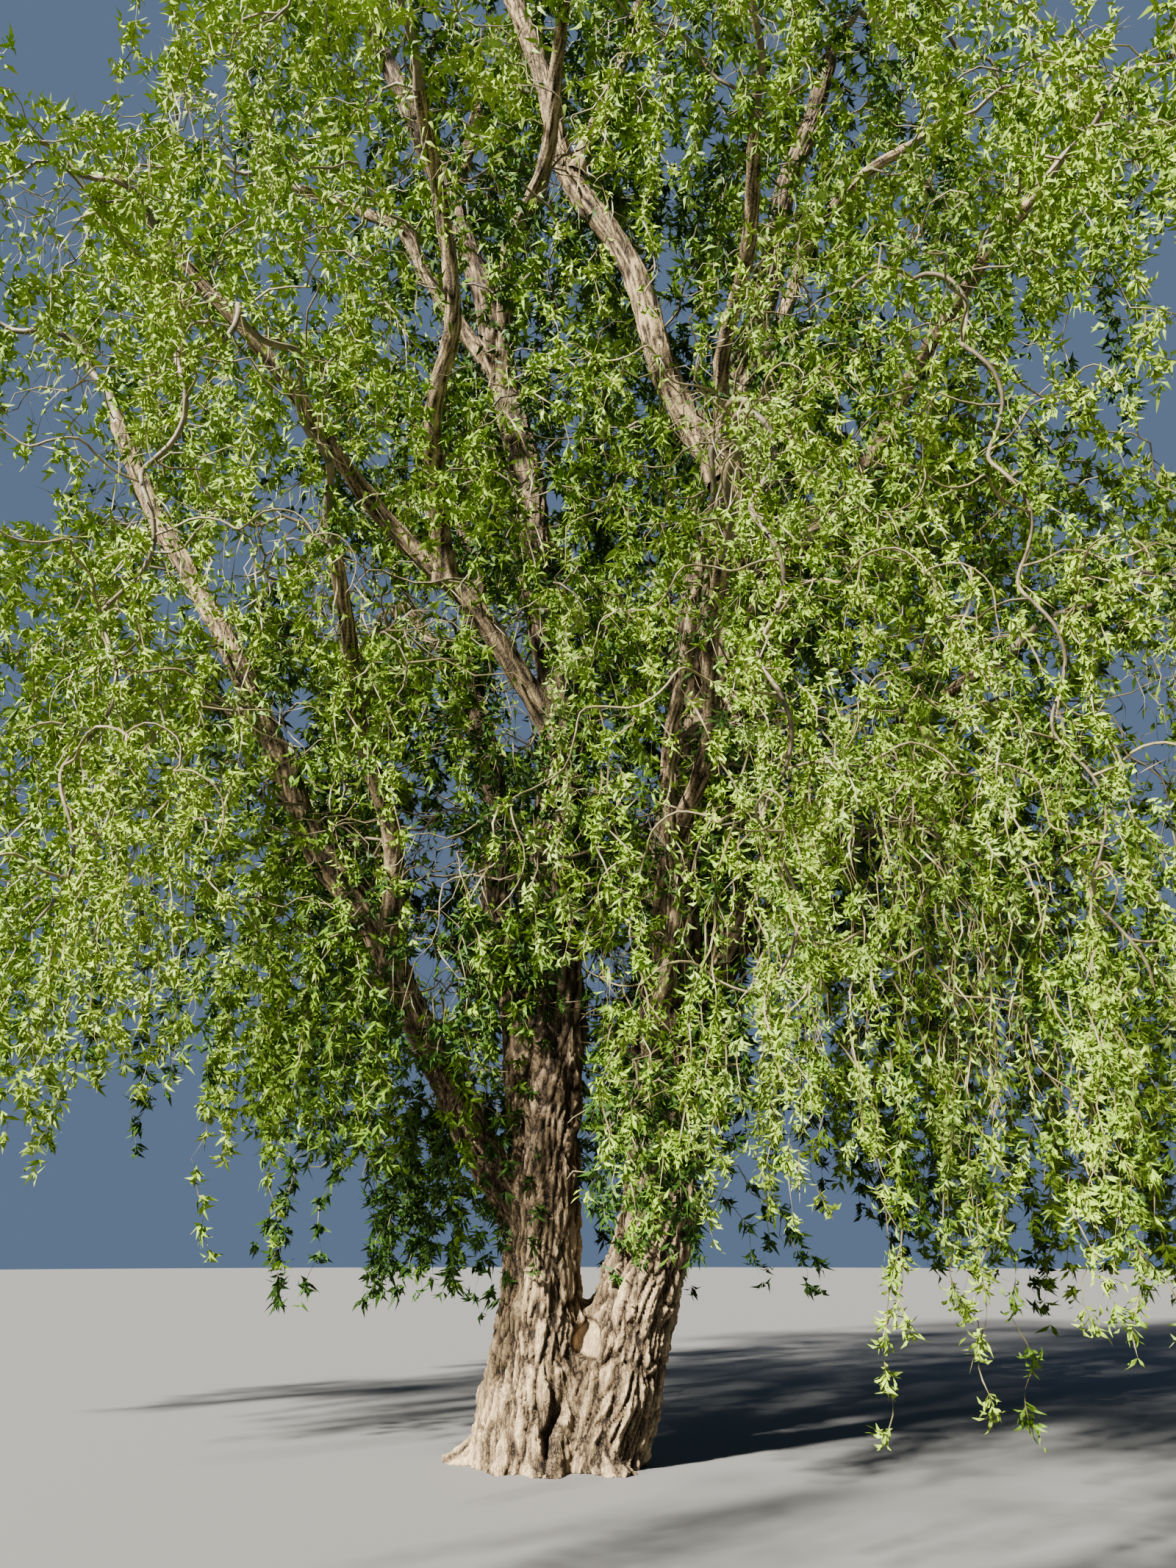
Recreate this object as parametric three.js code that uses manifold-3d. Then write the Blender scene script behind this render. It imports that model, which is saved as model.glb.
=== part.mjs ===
// A tall curly willow with weeping tips. Millimetres, +Z up, the origin on the ground under the trunk.
// +X is to the right and +Y away from someone who stands in front of the tree.
import * as THREE from "three";
import { mergeVertices } from "three/addons/utils/BufferGeometryUtils.js";
import Module from "manifold-3d";

const wasm = await Module();
wasm.setup();

// Driving dimensions
const GAP = 0.3; // clearance between neighbouring pieces
const UP = new THREE.Vector3(0, 0, 1);

// Trunk: two stems, fused up to a notch, that spread at the foot and stand on root lobes
const BURIED = 120; // how far the trunk is drawn below the ground before it is cut flat
const GROUND = { side: 4000, depth: 1000 };
const STEMS = {
  left_stem: { foot: [-110, 0], head: [-80, 0], top: 1420, radius: 205, spread: 120 },
  right_stem: { foot: [150, -20], head: [625, 0], top: 1380, radius: 215, spread: 60 },
};
const SPREAD_HEIGHT = 190; // the foot's spread falls to a third over this height
const STEM_SHARES = [0, 0.08, 0.17, 0.3, 0.5, 1];
const STEM_SIDES = 10;
const ROOT_LOBES = [
  { bearing: 172, reach: 560 }, { bearing: 222, reach: 430 }, { bearing: 264, reach: 430 },
  { bearing: 318, reach: 520 }, { bearing: 12, reach: 400 }, { bearing: 70, reach: 400 },
  { bearing: 125, reach: 430 },
];
const LOBE = { shares: [0, 0.35, 0.7, 1], inner: 0.12, top: 430, radii: [150, 45] };

// Main boughs: what carries each, the height it leaves at, its tip, how its middle bows
// away from a straight line, and its diameters at the foot and at the tip
const MAIN_BOUGHS = [
  { name: "centre_bough", carrier: "left_stem", leaves: 1250, tip: [-1750, 350, 11150],
    bow: [640, -60, 0], diameters: [330, 150], crook: 45 },
  { name: "right_bough", carrier: "right_stem", leaves: 1220, tip: [2350, 550, 11050],
    bow: [-330, 0, 0], diameters: [350, 150], crook: 45 },
  { name: "left_bough", carrier: "left_stem", leaves: 1020, tip: [-3050, -370, 6300],
    bow: [0, 0, -110], diameters: [210, 115], crook: 45 },
  { name: "back_left_bough", carrier: "left_stem", leaves: 1200, tip: [-1100, 2850, 9000],
    bow: [-80, -420, 0], diameters: [220, 100], crook: 60 },
  { name: "back_right_bough", carrier: "right_stem", leaves: 1180, tip: [2000, 2750, 9000],
    bow: [60, -420, 0], diameters: [230, 100], crook: 60 },
  { name: "crossing_bough", carrier: "right_bough", leaves: 6350, tip: [-560, -350, 10900],
    bow: [-70, 0, 0], diameters: [230, 140], crook: 90 },
  { name: "outer_left_bough", carrier: "centre_bough", leaves: 4150, tip: [-2250, -1550, 6550],
    bow: [0, 0, 60], diameters: [160, 75], crook: 90 },
  { name: "outer_right_bough", carrier: "right_bough", leaves: 4200, tip: [2890, -1750, 6950],
    bow: [0, 0, 120], diameters: [160, 75], crook: 90 },
  { name: "front_bough", carrier: "right_stem", leaves: 1050, tip: [780, -1500, 4500],
    bow: [-60, -60, 0], diameters: [110, 60], crook: 60 },
];
const RING_CARRIERS = MAIN_BOUGHS.map(({ name }) => name).filter((name) => name !== "front_bough");
const BOUGH_SIDES = 6;
const FEWEST_STEPS = 4; // along a bough
const STEP_LENGTH = 1050;
const CROOK_LENGTH = 2300; // one turn of a bough's corkscrew

// Rings of smaller boughs round the crown's middle, each from the nearest main bough below.
// A place in a ring that a main bough already ends in is left to it.
const CROWN_MIDDLE = [300, 600];
const RINGS = [
  { name: "low", places: 8, first: 12, radius: 2700, height: 4350, rise: 1900, taken: [] },
  { name: "mid", places: 9, first: 8, radius: 3050, height: 6900, rise: 2100, taken: [4, 5, 8] },
  { name: "high", places: 5, first: 50, radius: 2500, height: 9100, rise: 1900, taken: [0, 1] },
  { name: "crest", places: 2, first: -35, radius: 750, height: 11700, rise: 2600, taken: [] },
];
const RING_BOUGH = { diameters: [135, 80], bow: [0, 0, 330], crook: 110, sides: 5 };
const RING_JITTER = { bearing: 5, height: 260 };

// Foliage: a stem grows on from each bough's tip, arches over and hangs. Shorter twigs leave it
// on all sides, and leaf blades, each standing for a spray, hang from both. Bearings, climbs,
// turns and droops are in degrees.
const STEM = { stride: 560, weep: 33, wander: 26, radii: [44, 34], sides: 3 };
const TWIG = { share: 0.35, first: 60, turn: 137.5, strides: 2, stride: 540, weep: 42, wander: 40,
  climb: 22, radii: [21, 13, 0], sides: 3 };
const LEAF = { length: 1050, width: 300, thickness: 90, widest: 0.22, sink: 3 };
const TWIG_LEAVES = [
  { share: 0.6, beside: 70, droop: -66 },
  { share: 0.3, beside: -10, droop: -74 },
];
const STEM_LEAF = { every: 2, share: 0.85, beside: 180, droop: -66 };
const END_LEAF = { share: 0.3, droop: -84 };
const BLADE = {
  corners: [0, 1, 0, 0, -1, 0, 1, 0, 0, -1, 0, 0, 0, 0, 1], // tip, root, two sides and keel
  faces: [0, 2, 3, 1, 3, 2, 0, 4, 2, 0, 3, 4, 1, 2, 4, 1, 4, 3],
};
const STEEPEST = -84;
const MOST_STRIDES = 12;
const LEVELS = [ // where a mass's leaves hang down to, by the height of its bough's tip
  { below: 5500, fringe: 1050, swing: 620 },
  { below: 8000, fringe: 4300, swing: 0 },
  { below: 10000, fringe: 7000, swing: 0 },
  { below: Infinity, fringe: 8600, swing: 0 },
];
const SKIRT_HIGHEST = 165; // the bearing on which the lowest fringe swings up
const SHOOTS = [ // small sprays that the trunk itself carries
  { name: "right_shoot", carrier: "right_stem", leaves: 1120, bearing: 268, climb: 80, size: 0.75 },
  { name: "back_shoot", carrier: "left_stem", leaves: 1150, bearing: 118, climb: 75, size: 0.75 },
];
const SHOOT_FLOOR = 700;

// Room: a leaf or twig is tried on these bearings in turn, and left out if none is free
const TRIES = [0, 100, -100, 180];
const PROBES = [0.2, 0.4, 0.6, 0.8, 1]; // the places along a leaf that are tested
const LEAF_SPACING = 170; // between leaves of one mass
const SPACE_MARGIN = 45; // to the next mass's space
const LIMB_MARGIN = 25; // to any bough or the trunk

const BARK = { color: 0x7d6a54, roughness: 0.95, metalness: 0 };
const FOLIAGE = { color: 0x8aa83c, roughness: 0.6, metalness: 0 };

// Repeatable draws: what each is for, and the numbers that tell one plant piece from another
const SEED = 27;
const DRAW = { phase: 1, bearing: 2, height: 3, wander: 4, climb: 5, twigLeaf: 6, stemLeaf: 8, endLeaf: 9 };
const KEYS = { masses: 100, shoots: 200, twigs: 64 };
const MIXERS = [0x9e3779b9, 0x85ebca6b, 0xc2b2ae35];

function chance(...keys) {
  let mixed = SEED;
  for (const key of keys) {
    mixed = Math.imul(mixed ^ (key + MIXERS[0]), MIXERS[1]);
    mixed ^= mixed >>> 13;
  }
  mixed = Math.imul(mixed ^ (mixed >>> 16), MIXERS[2]);
  mixed ^= mixed >>> 15;
  return (mixed >>> 0) / 2 ** 32;
}

const radians = THREE.MathUtils.degToRad;
const degrees = THREE.MathUtils.radToDeg;
const mix = THREE.MathUtils.lerp;
const vector = (list) => new THREE.Vector3(...list);

// The direction with a bearing round the tree, from +X towards +Y, and a climb above level
function aim(bearing, climb) {
  const flat = Math.cos(radians(climb));
  return new THREE.Vector3(flat * Math.cos(radians(bearing)), flat * Math.sin(radians(bearing)),
    Math.sin(radians(climb)));
}

function bearingOf(direction) {
  return degrees(Math.atan2(direction.y, direction.x));
}

// A level direction square to a run
function sideways(run) {
  const across = UP.clone().cross(run);
  return across.length() > 0 ? across.normalize() : new THREE.Vector3(1, 0, 0);
}

// Solids
function solidOf(geometry) {
  geometry.deleteAttribute("normal");
  geometry.deleteAttribute("uv");
  const merged = mergeVertices(geometry);
  return new wasm.Manifold(new wasm.Mesh({
    numProp: 3,
    vertProperties: new Float32Array(merged.attributes.position.array),
    triVerts: new Uint32Array(merged.index.array),
  }));
}

function joined(solids) {
  return solids.reduce((whole, solid) => whole.add(solid));
}

function largestBody(solid) {
  const bodies = solid.decompose();
  return bodies.reduce((best, body) => (body.volume() > best.volume() ? body : best));
}

function pieceOf(name, solid, finish) {
  const mesh = solid.getMesh();
  const geometry = new THREE.BufferGeometry();
  geometry.setAttribute("position", new THREE.BufferAttribute(mesh.vertProperties, 3));
  geometry.setIndex(new THREE.BufferAttribute(mesh.triVerts, 1));
  geometry.computeVertexNormals();
  const piece = new THREE.Mesh(geometry, new THREE.MeshStandardMaterial(finish));
  piece.name = name;
  return piece;
}

// A closed tube along a path: a cylinder whose rings are moved square to it. A last radius of 0
// gives a point, and grow makes the tube larger all over.
function tube({ points, radii }, sides, grow = 0) {
  const steps = points.length - 1;
  const headRadius = radii[steps] === 0 ? 0 : 1;
  const shape = new THREE.CylinderGeometry(headRadius, 1, steps, sides, steps);
  const across = sideways(points[steps].clone().sub(points[0]));
  const rings = points.map((point, k) => {
    const ahead = points[Math.min(k + 1, steps)].clone().sub(points[Math.max(k - 1, 0)]).normalize();
    const over = across.clone().cross(ahead).normalize();
    const stretch = { 0: -grow, [steps]: grow }[k] ?? 0;
    return { centre: point.clone().addScaledVector(ahead, stretch), over,
      beside: ahead.clone().cross(over), radius: radii[k] + grow };
  });
  const places = shape.attributes.position;
  for (let i = 0; i < places.count; i += 1) {
    const ring = rings[Math.round(places.getY(i) + steps / 2)];
    const drawn = Math.hypot(places.getX(i), places.getZ(i));
    const scale = drawn > 0 ? ring.radius / drawn : 0;
    const corner = ring.centre.clone()
      .addScaledVector(ring.beside, places.getX(i) * scale)
      .addScaledVector(ring.over, places.getZ(i) * scale);
    places.setXYZ(i, corner.x, corner.y, corner.z);
  }
  return solidOf(shape);
}

// One leaf blade: flat with a keel, widest near its root, which is sunk past the middle of the twig
function leaf(root, direction, turn, size) {
  const blade = new THREE.PolyhedronGeometry(BLADE.corners, BLADE.faces);
  const places = blade.attributes.position;
  const beside = sideways(direction).applyAxisAngle(direction, radians(turn));
  const over = beside.clone().cross(direction);
  for (let i = 0; i < places.count; i += 1) {
    const along = places.getY(i) === 0 ? LEAF.widest : (places.getY(i) + 1) / 2;
    const corner = root.clone()
      .addScaledVector(direction, along * LEAF.length * size - LEAF.sink)
      .addScaledVector(beside, places.getX(i) * LEAF.width * size / 2)
      .addScaledVector(over, places.getZ(i) * LEAF.thickness * size / 2);
    places.setXYZ(i, corner.x, corner.y, corner.z);
  }
  return solidOf(blade);
}

// Limbs: each is a path of points with a radius at each
const limbs = {};

// The gap between a point and the skin of a path
function gapTo(point, { points, radii }) {
  const line = new THREE.Line3();
  const foot = new THREE.Vector3();
  let least = Infinity;
  for (let k = 1; k < points.length; k += 1) {
    line.set(points[k - 1], points[k]);
    const share = line.closestPointToPointParameter(point, true);
    line.at(share, foot);
    least = Math.min(least, foot.distanceTo(point) - mix(radii[k - 1], radii[k], share));
  }
  return least;
}

// The point at which a path first passes a height
function atHeight({ points }, height) {
  const k = Math.max(1, points.findIndex((point) => point.z >= height));
  const share = (height - points[k - 1].z) / (points[k].z - points[k - 1].z);
  return points[k - 1].clone().lerp(points[k], THREE.MathUtils.clamp(share, 0, 1));
}

function stemPath({ foot, head, top, radius, spread }) {
  const points = STEM_SHARES.map((share) => new THREE.Vector3(
    mix(foot[0], head[0], share), mix(foot[1], head[1], share), mix(-BURIED, top, share)));
  const radii = points.map(({ z }) => radius + spread * Math.exp(-Math.max(z, 0) / SPREAD_HEIGHT));
  return { points, radii };
}

// A root lobe leaves the trunk's middle and runs out along the ground.
function lobePath({ bearing, reach }) {
  const points = LOBE.shares.map((share) => aim(bearing, 0)
    .multiplyScalar(reach * mix(LOBE.inner, 1, share))
    .setZ(mix(LOBE.top, -LOBE.radii[1], 1 - (1 - share) ** 2)));
  return { points, radii: LOBE.shares.map((share) => mix(...LOBE.radii, share)) };
}

// A bough runs from its carrier to its tip, bowed, in a loose corkscrew.
function boughPath({ start, tip, bow, diameters, crook }, key) {
  const run = tip.clone().sub(start);
  const steps = Math.max(FEWEST_STEPS, Math.round(run.length() / STEP_LENGTH));
  const across = sideways(run);
  const over = across.clone().cross(run).normalize();
  const phase = chance(key, DRAW.phase);
  const points = [];
  const radii = [];
  for (let k = 0; k <= steps; k += 1) {
    const share = k / steps;
    const angle = 2 * Math.PI * (phase + share * run.length() / CROOK_LENGTH);
    const swing = crook * Math.sin(Math.PI * share);
    points.push(start.clone().addScaledVector(run, share)
      .addScaledVector(bow, 4 * share * (1 - share))
      .addScaledVector(across, swing * Math.sin(angle))
      .addScaledVector(over, swing * Math.cos(angle)));
    radii.push(mix(...diameters, share) / 2);
  }
  return { points, radii };
}

// A ring bough starts on the main bough that passes nearest to its tip, a set rise below it.
function ringBough(ring, level, place) {
  const bearing = ring.first + 360 * place / ring.places
    + RING_JITTER.bearing * (2 * chance(level, place, DRAW.bearing) - 1);
  const height = ring.height + RING_JITTER.height * (2 * chance(level, place, DRAW.height) - 1);
  const tip = aim(bearing, 0).multiplyScalar(ring.radius).add(vector([...CROWN_MIDDLE, height]));
  const startHeight = height - ring.rise;
  const starts = RING_CARRIERS.map((name) => limbs[name])
    .filter(({ points }) => points[0].z < startHeight && points.at(-1).z > startHeight)
    .map((limb) => atHeight(limb, startHeight));
  const start = starts.reduce((best, point) => (
    point.distanceTo(tip) < best.distanceTo(tip) ? point : best));
  return { ...RING_BOUGH, name: `${ring.name}_bough_${place + 1}`, start, tip, bow: vector(RING_BOUGH.bow) };
}

function ringBoughs() {
  return RINGS.flatMap((ring, level) => Array.from({ length: ring.places }, (_, place) => place)
    .filter((place) => !ring.taken.includes(place))
    .map((place) => ringBough(ring, level, place)));
}

function trunkSolid(grow) {
  const stems = Object.keys(STEMS).map((name) => tube(limbs[name], STEM_SIDES, grow));
  const lobes = ROOT_LOBES.map((lobe) => tube(lobePath(lobe), BOUGH_SIDES, grow));
  const ground = new THREE.BoxGeometry(GROUND.side, GROUND.side, GROUND.depth)
    .translate(0, 0, -GROUND.depth / 2);
  return joined([...stems, ...lobes]).subtract(solidOf(ground));
}

// Foliage
// A shoot grows stride by stride, turning down and wandering, until it reaches the floor.
function shoot(start, bearing, climb, { stride, weep, wander }, floor, key) {
  const points = [start.clone()];
  let heading = bearing;
  let slope = climb;
  for (let k = 0; k < MOST_STRIDES && (slope > 0 || points[k].z > floor); k += 1) {
    points.push(points[k].clone().addScaledVector(aim(heading, slope), stride));
    slope = Math.max(slope - weep, STEEPEST);
    heading += wander * (chance(key, k, DRAW.wander) - 0.5);
  }
  return points;
}

function spineOf({ start, direction, size, floor, key }) {
  const points = shoot(start, bearingOf(direction), degrees(Math.asin(direction.z)),
    { ...STEM, stride: STEM.stride * size }, floor + LEAF.length * size, key);
  const last = points.length - 1;
  return { points, radii: points.map((_, k) => (k === last ? 0 : mix(...STEM.radii, k / last))) };
}

const masses = [];

function clear(point, margin) {
  return Object.values(limbs).every((limb) => gapTo(point, limb) > margin);
}

// A mass's space is all that lies nearer to its own spine than to any other's.
function inSpace(point, mass) {
  const toSpine = ({ spine }) => gapTo(point, { points: spine.points, radii: spine.radii.map(() => 0) });
  const own = toSpine(mass);
  return masses.every((other) => other === mass || toSpine(other) > own + 2 * SPACE_MARGIN);
}

function leafFits(middles, direction, mass) {
  const half = LEAF.width * mass.size / 2;
  const beside = sideways(direction);
  return middles.every((middle) => middle.z > mass.floor
    && clear(middle, half + LIMB_MARGIN)
    && [-half, half].every((offset) => inSpace(middle.clone().addScaledVector(beside, offset), mass)));
}

function twigFits(points, mass) {
  return points.slice(1).every((point, k) => [point, point.clone().lerp(points[k], 0.5)].every(
    (test) => clear(test, TWIG.radii[0] + LIMB_MARGIN) && inSpace(test, mass)));
}

function between(points, k, share) {
  return points[k].clone().lerp(points[k + 1], share);
}

// Leaves and twigs are added to one mass, each where there is room for it.
function grower(mass) {
  const parts = [tube(mass.spine, STEM.sides)];
  const taken = [];
  const apart = (points) => points.every((point) => taken.every((other) => (
    other.distanceTo(point) > LEAF_SPACING * mass.size)));

  function addLeaf(root, bearing, climb, turn) {
    for (const swing of TRIES) {
      const direction = aim(bearing + swing, climb);
      const middles = PROBES.map((share) => (
        root.clone().addScaledVector(direction, share * LEAF.length * mass.size)));
      if (apart(middles) && leafFits(middles, direction, mass)) {
        parts.push(leaf(root, direction, turn, mass.size));
        taken.push(...middles);
        return;
      }
    }
  }

  function addTwig(root, bearing, k) {
    for (const swing of TRIES) {
      const climb = TWIG.climb * chance(mass.key, k, DRAW.climb);
      const points = shoot(root, bearing + swing, climb, { ...TWIG, stride: TWIG.stride * mass.size },
        -Infinity, mass.key * KEYS.twigs + k).slice(0, TWIG.strides + 1);
      if (twigFits(points, mass) && apart(points.slice(1))) {
        parts.push(tube({ points, radii: TWIG.radii }, TWIG.sides));
        TWIG_LEAVES.forEach(({ share, beside, droop }, i) => {
          addLeaf(between(points, i, share), bearing + swing + beside, droop,
            360 * chance(mass.key, k, DRAW.twigLeaf + i));
        });
        return;
      }
    }
  }

  return { parts, addLeaf, addTwig };
}

function massSolid(mass) {
  const { spine: { points }, key } = mass;
  const { parts, addLeaf, addTwig } = grower(mass);
  const last = points.length - 1;
  for (let k = 0; k < last; k += 1) {
    const bearing = bearingOf(points[k + 1].clone().sub(points[k])) + TWIG.turn * k + TWIG.first;
    if (k < last - 1) addTwig(between(points, k, TWIG.share), bearing, k);
    if (k % STEM_LEAF.every === 1) {
      addLeaf(between(points, k, STEM_LEAF.share), bearing + STEM_LEAF.beside, STEM_LEAF.droop,
        360 * chance(key, k, DRAW.stemLeaf));
    }
  }
  addLeaf(between(points, last - 1, END_LEAF.share), 360 * chance(key, DRAW.endLeaf), END_LEAF.droop,
    360 * chance(key, DRAW.endLeaf + 1));
  return joined(parts);
}

// Assembly
const tree = new THREE.Group();
tree.name = "curly_willow";

for (const [name, stem] of Object.entries(STEMS)) limbs[name] = stemPath(stem);
const boughs = MAIN_BOUGHS.map((bough, index) => {
  const placed = { ...bough, start: atHeight(limbs[bough.carrier], bough.leaves), tip: vector(bough.tip),
    bow: vector(bough.bow), sides: BOUGH_SIDES };
  limbs[bough.name] = boughPath(placed, index);
  return placed;
});
ringBoughs().forEach((bough, index) => {
  limbs[bough.name] = boughPath(bough, MAIN_BOUGHS.length + index);
  boughs.push(bough);
});

tree.add(pieceOf("trunk", trunkSolid(0), BARK));
let wood = trunkSolid(GAP); // the limbs made so far, grown by the gap
for (const { name, sides } of boughs) {
  tree.add(pieceOf(name, largestBody(tube(limbs[name], sides).subtract(wood)), BARK));
  wood = wood.add(tube(limbs[name], sides, GAP));
}

// The height that a mass's leaves hang down to: the lowest fringe dips towards one side
function floorOf(tip) {
  const { fringe, swing } = LEVELS.find(({ below }) => tip.z < below);
  const bearing = Math.atan2(tip.y - CROWN_MIDDLE[1], tip.x - CROWN_MIDDLE[0]);
  return fringe + swing * Math.cos(bearing - radians(SKIRT_HIGHEST));
}

boughs.forEach(({ name, tip }, index) => {
  const { points } = limbs[name];
  const direction = points.at(-1).clone().sub(points.at(-2)).normalize();
  masses.push({ name: name.replace("bough", "foliage"), direction, size: 1, floor: floorOf(tip),
    start: tip.clone().addScaledVector(direction, GAP), key: KEYS.masses + index });
});
SHOOTS.forEach(({ name, carrier, leaves, bearing, climb, size }, index) => {
  masses.push({ name: `${name}_foliage`, direction: aim(bearing, climb), size, floor: SHOOT_FLOOR,
    start: atHeight(limbs[carrier], leaves), key: KEYS.shoots + index, rooted: true });
});
for (const mass of masses) mass.spine = spineOf(mass);
for (const mass of masses) {
  const whole = massSolid(mass);
  tree.add(pieceOf(mass.name, largestBody(mass.rooted ? whole.subtract(wood) : whole), FOLIAGE));
}

export default tree;
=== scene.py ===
"""A tall curly willow with weeping tips: its bark, twigs and leaves. Metres, +Z up."""

import math
from types import SimpleNamespace as Named

import bmesh
import bpy
import numpy as np
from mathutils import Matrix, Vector, noise


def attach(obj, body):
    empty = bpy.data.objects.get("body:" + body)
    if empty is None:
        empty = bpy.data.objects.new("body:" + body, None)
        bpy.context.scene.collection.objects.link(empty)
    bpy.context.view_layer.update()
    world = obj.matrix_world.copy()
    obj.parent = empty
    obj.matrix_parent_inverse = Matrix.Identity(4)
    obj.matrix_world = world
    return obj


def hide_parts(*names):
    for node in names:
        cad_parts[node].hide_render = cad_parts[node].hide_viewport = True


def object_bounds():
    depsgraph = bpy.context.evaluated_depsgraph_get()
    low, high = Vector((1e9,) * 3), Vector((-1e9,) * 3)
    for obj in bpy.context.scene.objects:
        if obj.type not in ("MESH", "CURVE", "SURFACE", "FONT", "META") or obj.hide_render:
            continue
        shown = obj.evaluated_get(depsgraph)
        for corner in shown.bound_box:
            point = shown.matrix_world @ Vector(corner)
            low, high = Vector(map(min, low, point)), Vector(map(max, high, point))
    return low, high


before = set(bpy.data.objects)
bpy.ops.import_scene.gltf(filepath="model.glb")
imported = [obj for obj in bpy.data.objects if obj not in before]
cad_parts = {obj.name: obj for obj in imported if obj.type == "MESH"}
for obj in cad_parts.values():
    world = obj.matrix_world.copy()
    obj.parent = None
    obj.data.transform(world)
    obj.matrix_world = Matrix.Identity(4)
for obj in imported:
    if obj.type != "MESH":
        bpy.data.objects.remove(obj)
cad_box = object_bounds()

UP = np.array([0.0, 0.0, 1.0])
ROUND = 6.28  # the radians of a turn, near enough for a phase

# Limbs: the sizes and rules of the solids, with fuller root lobes
STEMS = {
    "left_stem": dict(foot=(-0.11, 0), head=(-0.08, 0), top=1.42, radius=0.205, spread=0.12),
    "right_stem": dict(foot=(0.15, -0.02), head=(0.625, 0), top=1.38, radius=0.215, spread=0.06),
}
BURIED = 0.12
SPREAD_HEIGHT = 0.19
STEM_SHARES = np.array([0, 0.08, 0.17, 0.3, 0.5, 1])
# Bearing and reach
ROOT_LOBES = [(172, 0.6), (222, 0.43), (264, 0.43), (318, 0.52), (12, 0.4), (70, 0.4), (125, 0.43)]
LOBE = Named(shares=np.array([0, 0.35, 0.7, 1]), inner=0.12, top=0.43, radii=(0.16, 0.085), foot=-0.045,
             step=0.06)
# Name, carrier, height it leaves at, tip, bow, diameters at foot and tip, crook
MAIN_BOUGHS = [
    ("centre_bough", "left_stem", 1.25, (-1.75, 0.35, 11.15), (0.64, -0.06, 0), (0.33, 0.15), 0.045),
    ("right_bough", "right_stem", 1.22, (2.35, 0.55, 11.05), (-0.33, 0, 0), (0.35, 0.15), 0.045),
    ("left_bough", "left_stem", 1.02, (-3.05, -0.37, 6.3), (0, 0, -0.11), (0.21, 0.115), 0.045),
    ("back_left_bough", "left_stem", 1.2, (-1.1, 2.85, 9.0), (-0.08, -0.42, 0), (0.22, 0.1), 0.06),
    ("back_right_bough", "right_stem", 1.18, (2.0, 2.75, 9.0), (0.06, -0.42, 0), (0.23, 0.1), 0.06),
    ("crossing_bough", "right_bough", 6.35, (-0.56, -0.35, 10.9), (-0.07, 0, 0), (0.23, 0.14), 0.09),
    ("outer_left_bough", "centre_bough", 4.15, (-2.25, -1.55, 6.55), (0, 0, 0.06), (0.16, 0.075), 0.09),
    ("outer_right_bough", "right_bough", 4.2, (2.89, -1.75, 6.95), (0, 0, 0.12), (0.16, 0.075), 0.09),
    ("front_bough", "right_stem", 1.05, (0.78, -1.5, 4.5), (-0.06, -0.06, 0), (0.11, 0.06), 0.06),
]
RING_CARRIERS = [bough[0] for bough in MAIN_BOUGHS if bough[0] != "front_bough"]
FEWEST_STEPS = 4
STEP_LENGTH = 1.05
CROOK_LENGTH = 2.3
CROWN_MIDDLE = (0.3, 0.6)
RINGS = [
    Named(name="low", places=8, first=12, radius=2.7, height=4.35, rise=1.9, taken=()),
    Named(name="mid", places=9, first=8, radius=3.05, height=6.9, rise=2.1, taken=(4, 5, 8)),
    Named(name="high", places=5, first=50, radius=2.5, height=9.1, rise=1.9, taken=(0, 1)),
    Named(name="crest", places=2, first=-35, radius=0.75, height=11.7, rise=2.6, taken=()),
]
RING_BOUGH = dict(bow=(0, 0, 0.33), diameters=(0.135, 0.08), crook=0.11)
RING_JITTER = Named(bearing=5, height=0.26)

# Foliage stems and twigs: the rule of the solids, in degrees and metres
GAP = 0.0003
STEM = Named(stride=0.56, weep=33, wander=26)
TWIG = Named(share=0.35, first=60, turn=137.5, stride=0.54, weep=42, wander=40, climb=22)
BLADE_LENGTH = 1.05
STEEPEST = -84
MOST_STRIDES = 12
# Tips below this height hang down to this floor, with this swing
LEVELS = [(5.5, 1.05, 0.62), (8.0, 4.3, 0), (10.0, 7.0, 0), (math.inf, 8.6, 0)]
SKIRT_HIGHEST = 165  # the bearing on which the lowest floor swings up
# Name, carrier, height it leaves at, bearing, climb and size of the trunk's own shoots
SHOOTS = [("right_shoot", "right_stem", 1.12, 268, 80, 0.75),
          ("back_shoot", "left_stem", 1.15, 118, 75, 0.75)]
SHOOT = Named(floor=0.7, foot=0.02, crowd=2.5)  # crowd: how much thicker their leaves are

# Repeatable chance: the first five draws are the solids' own
SEED = 27
DRAW = Named(phase=1, bearing=2, height=3, wander=4, climb=5, wave=21, curl=22, curl_phase=23, place=31,
             fall=32, heading=33, slope=34, kind=35, twig_phase=41, length=42, bare=43, stem_phase=51,
             branch_phase=61, side_climb=62, side_length=63, branch_climb=64, rope=71)
KEYS = Named(masses=100, shoots=200, branches=7000, sprays=9000, ropes=9500)
KEY_STEPS = Named(mass=64, bough=64, strand=97, branch=7, rope=8)  # from one carrier's keys to the next one's
MIXERS = (0x9E3779B9, 0x85EBCA6B, 0xC2B2AE35)
WORD = 0xFFFFFFFF
rng = np.random.default_rng(SEED)
noise.seed_set(SEED)  # noise_vector has another seed in each run otherwise

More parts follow.
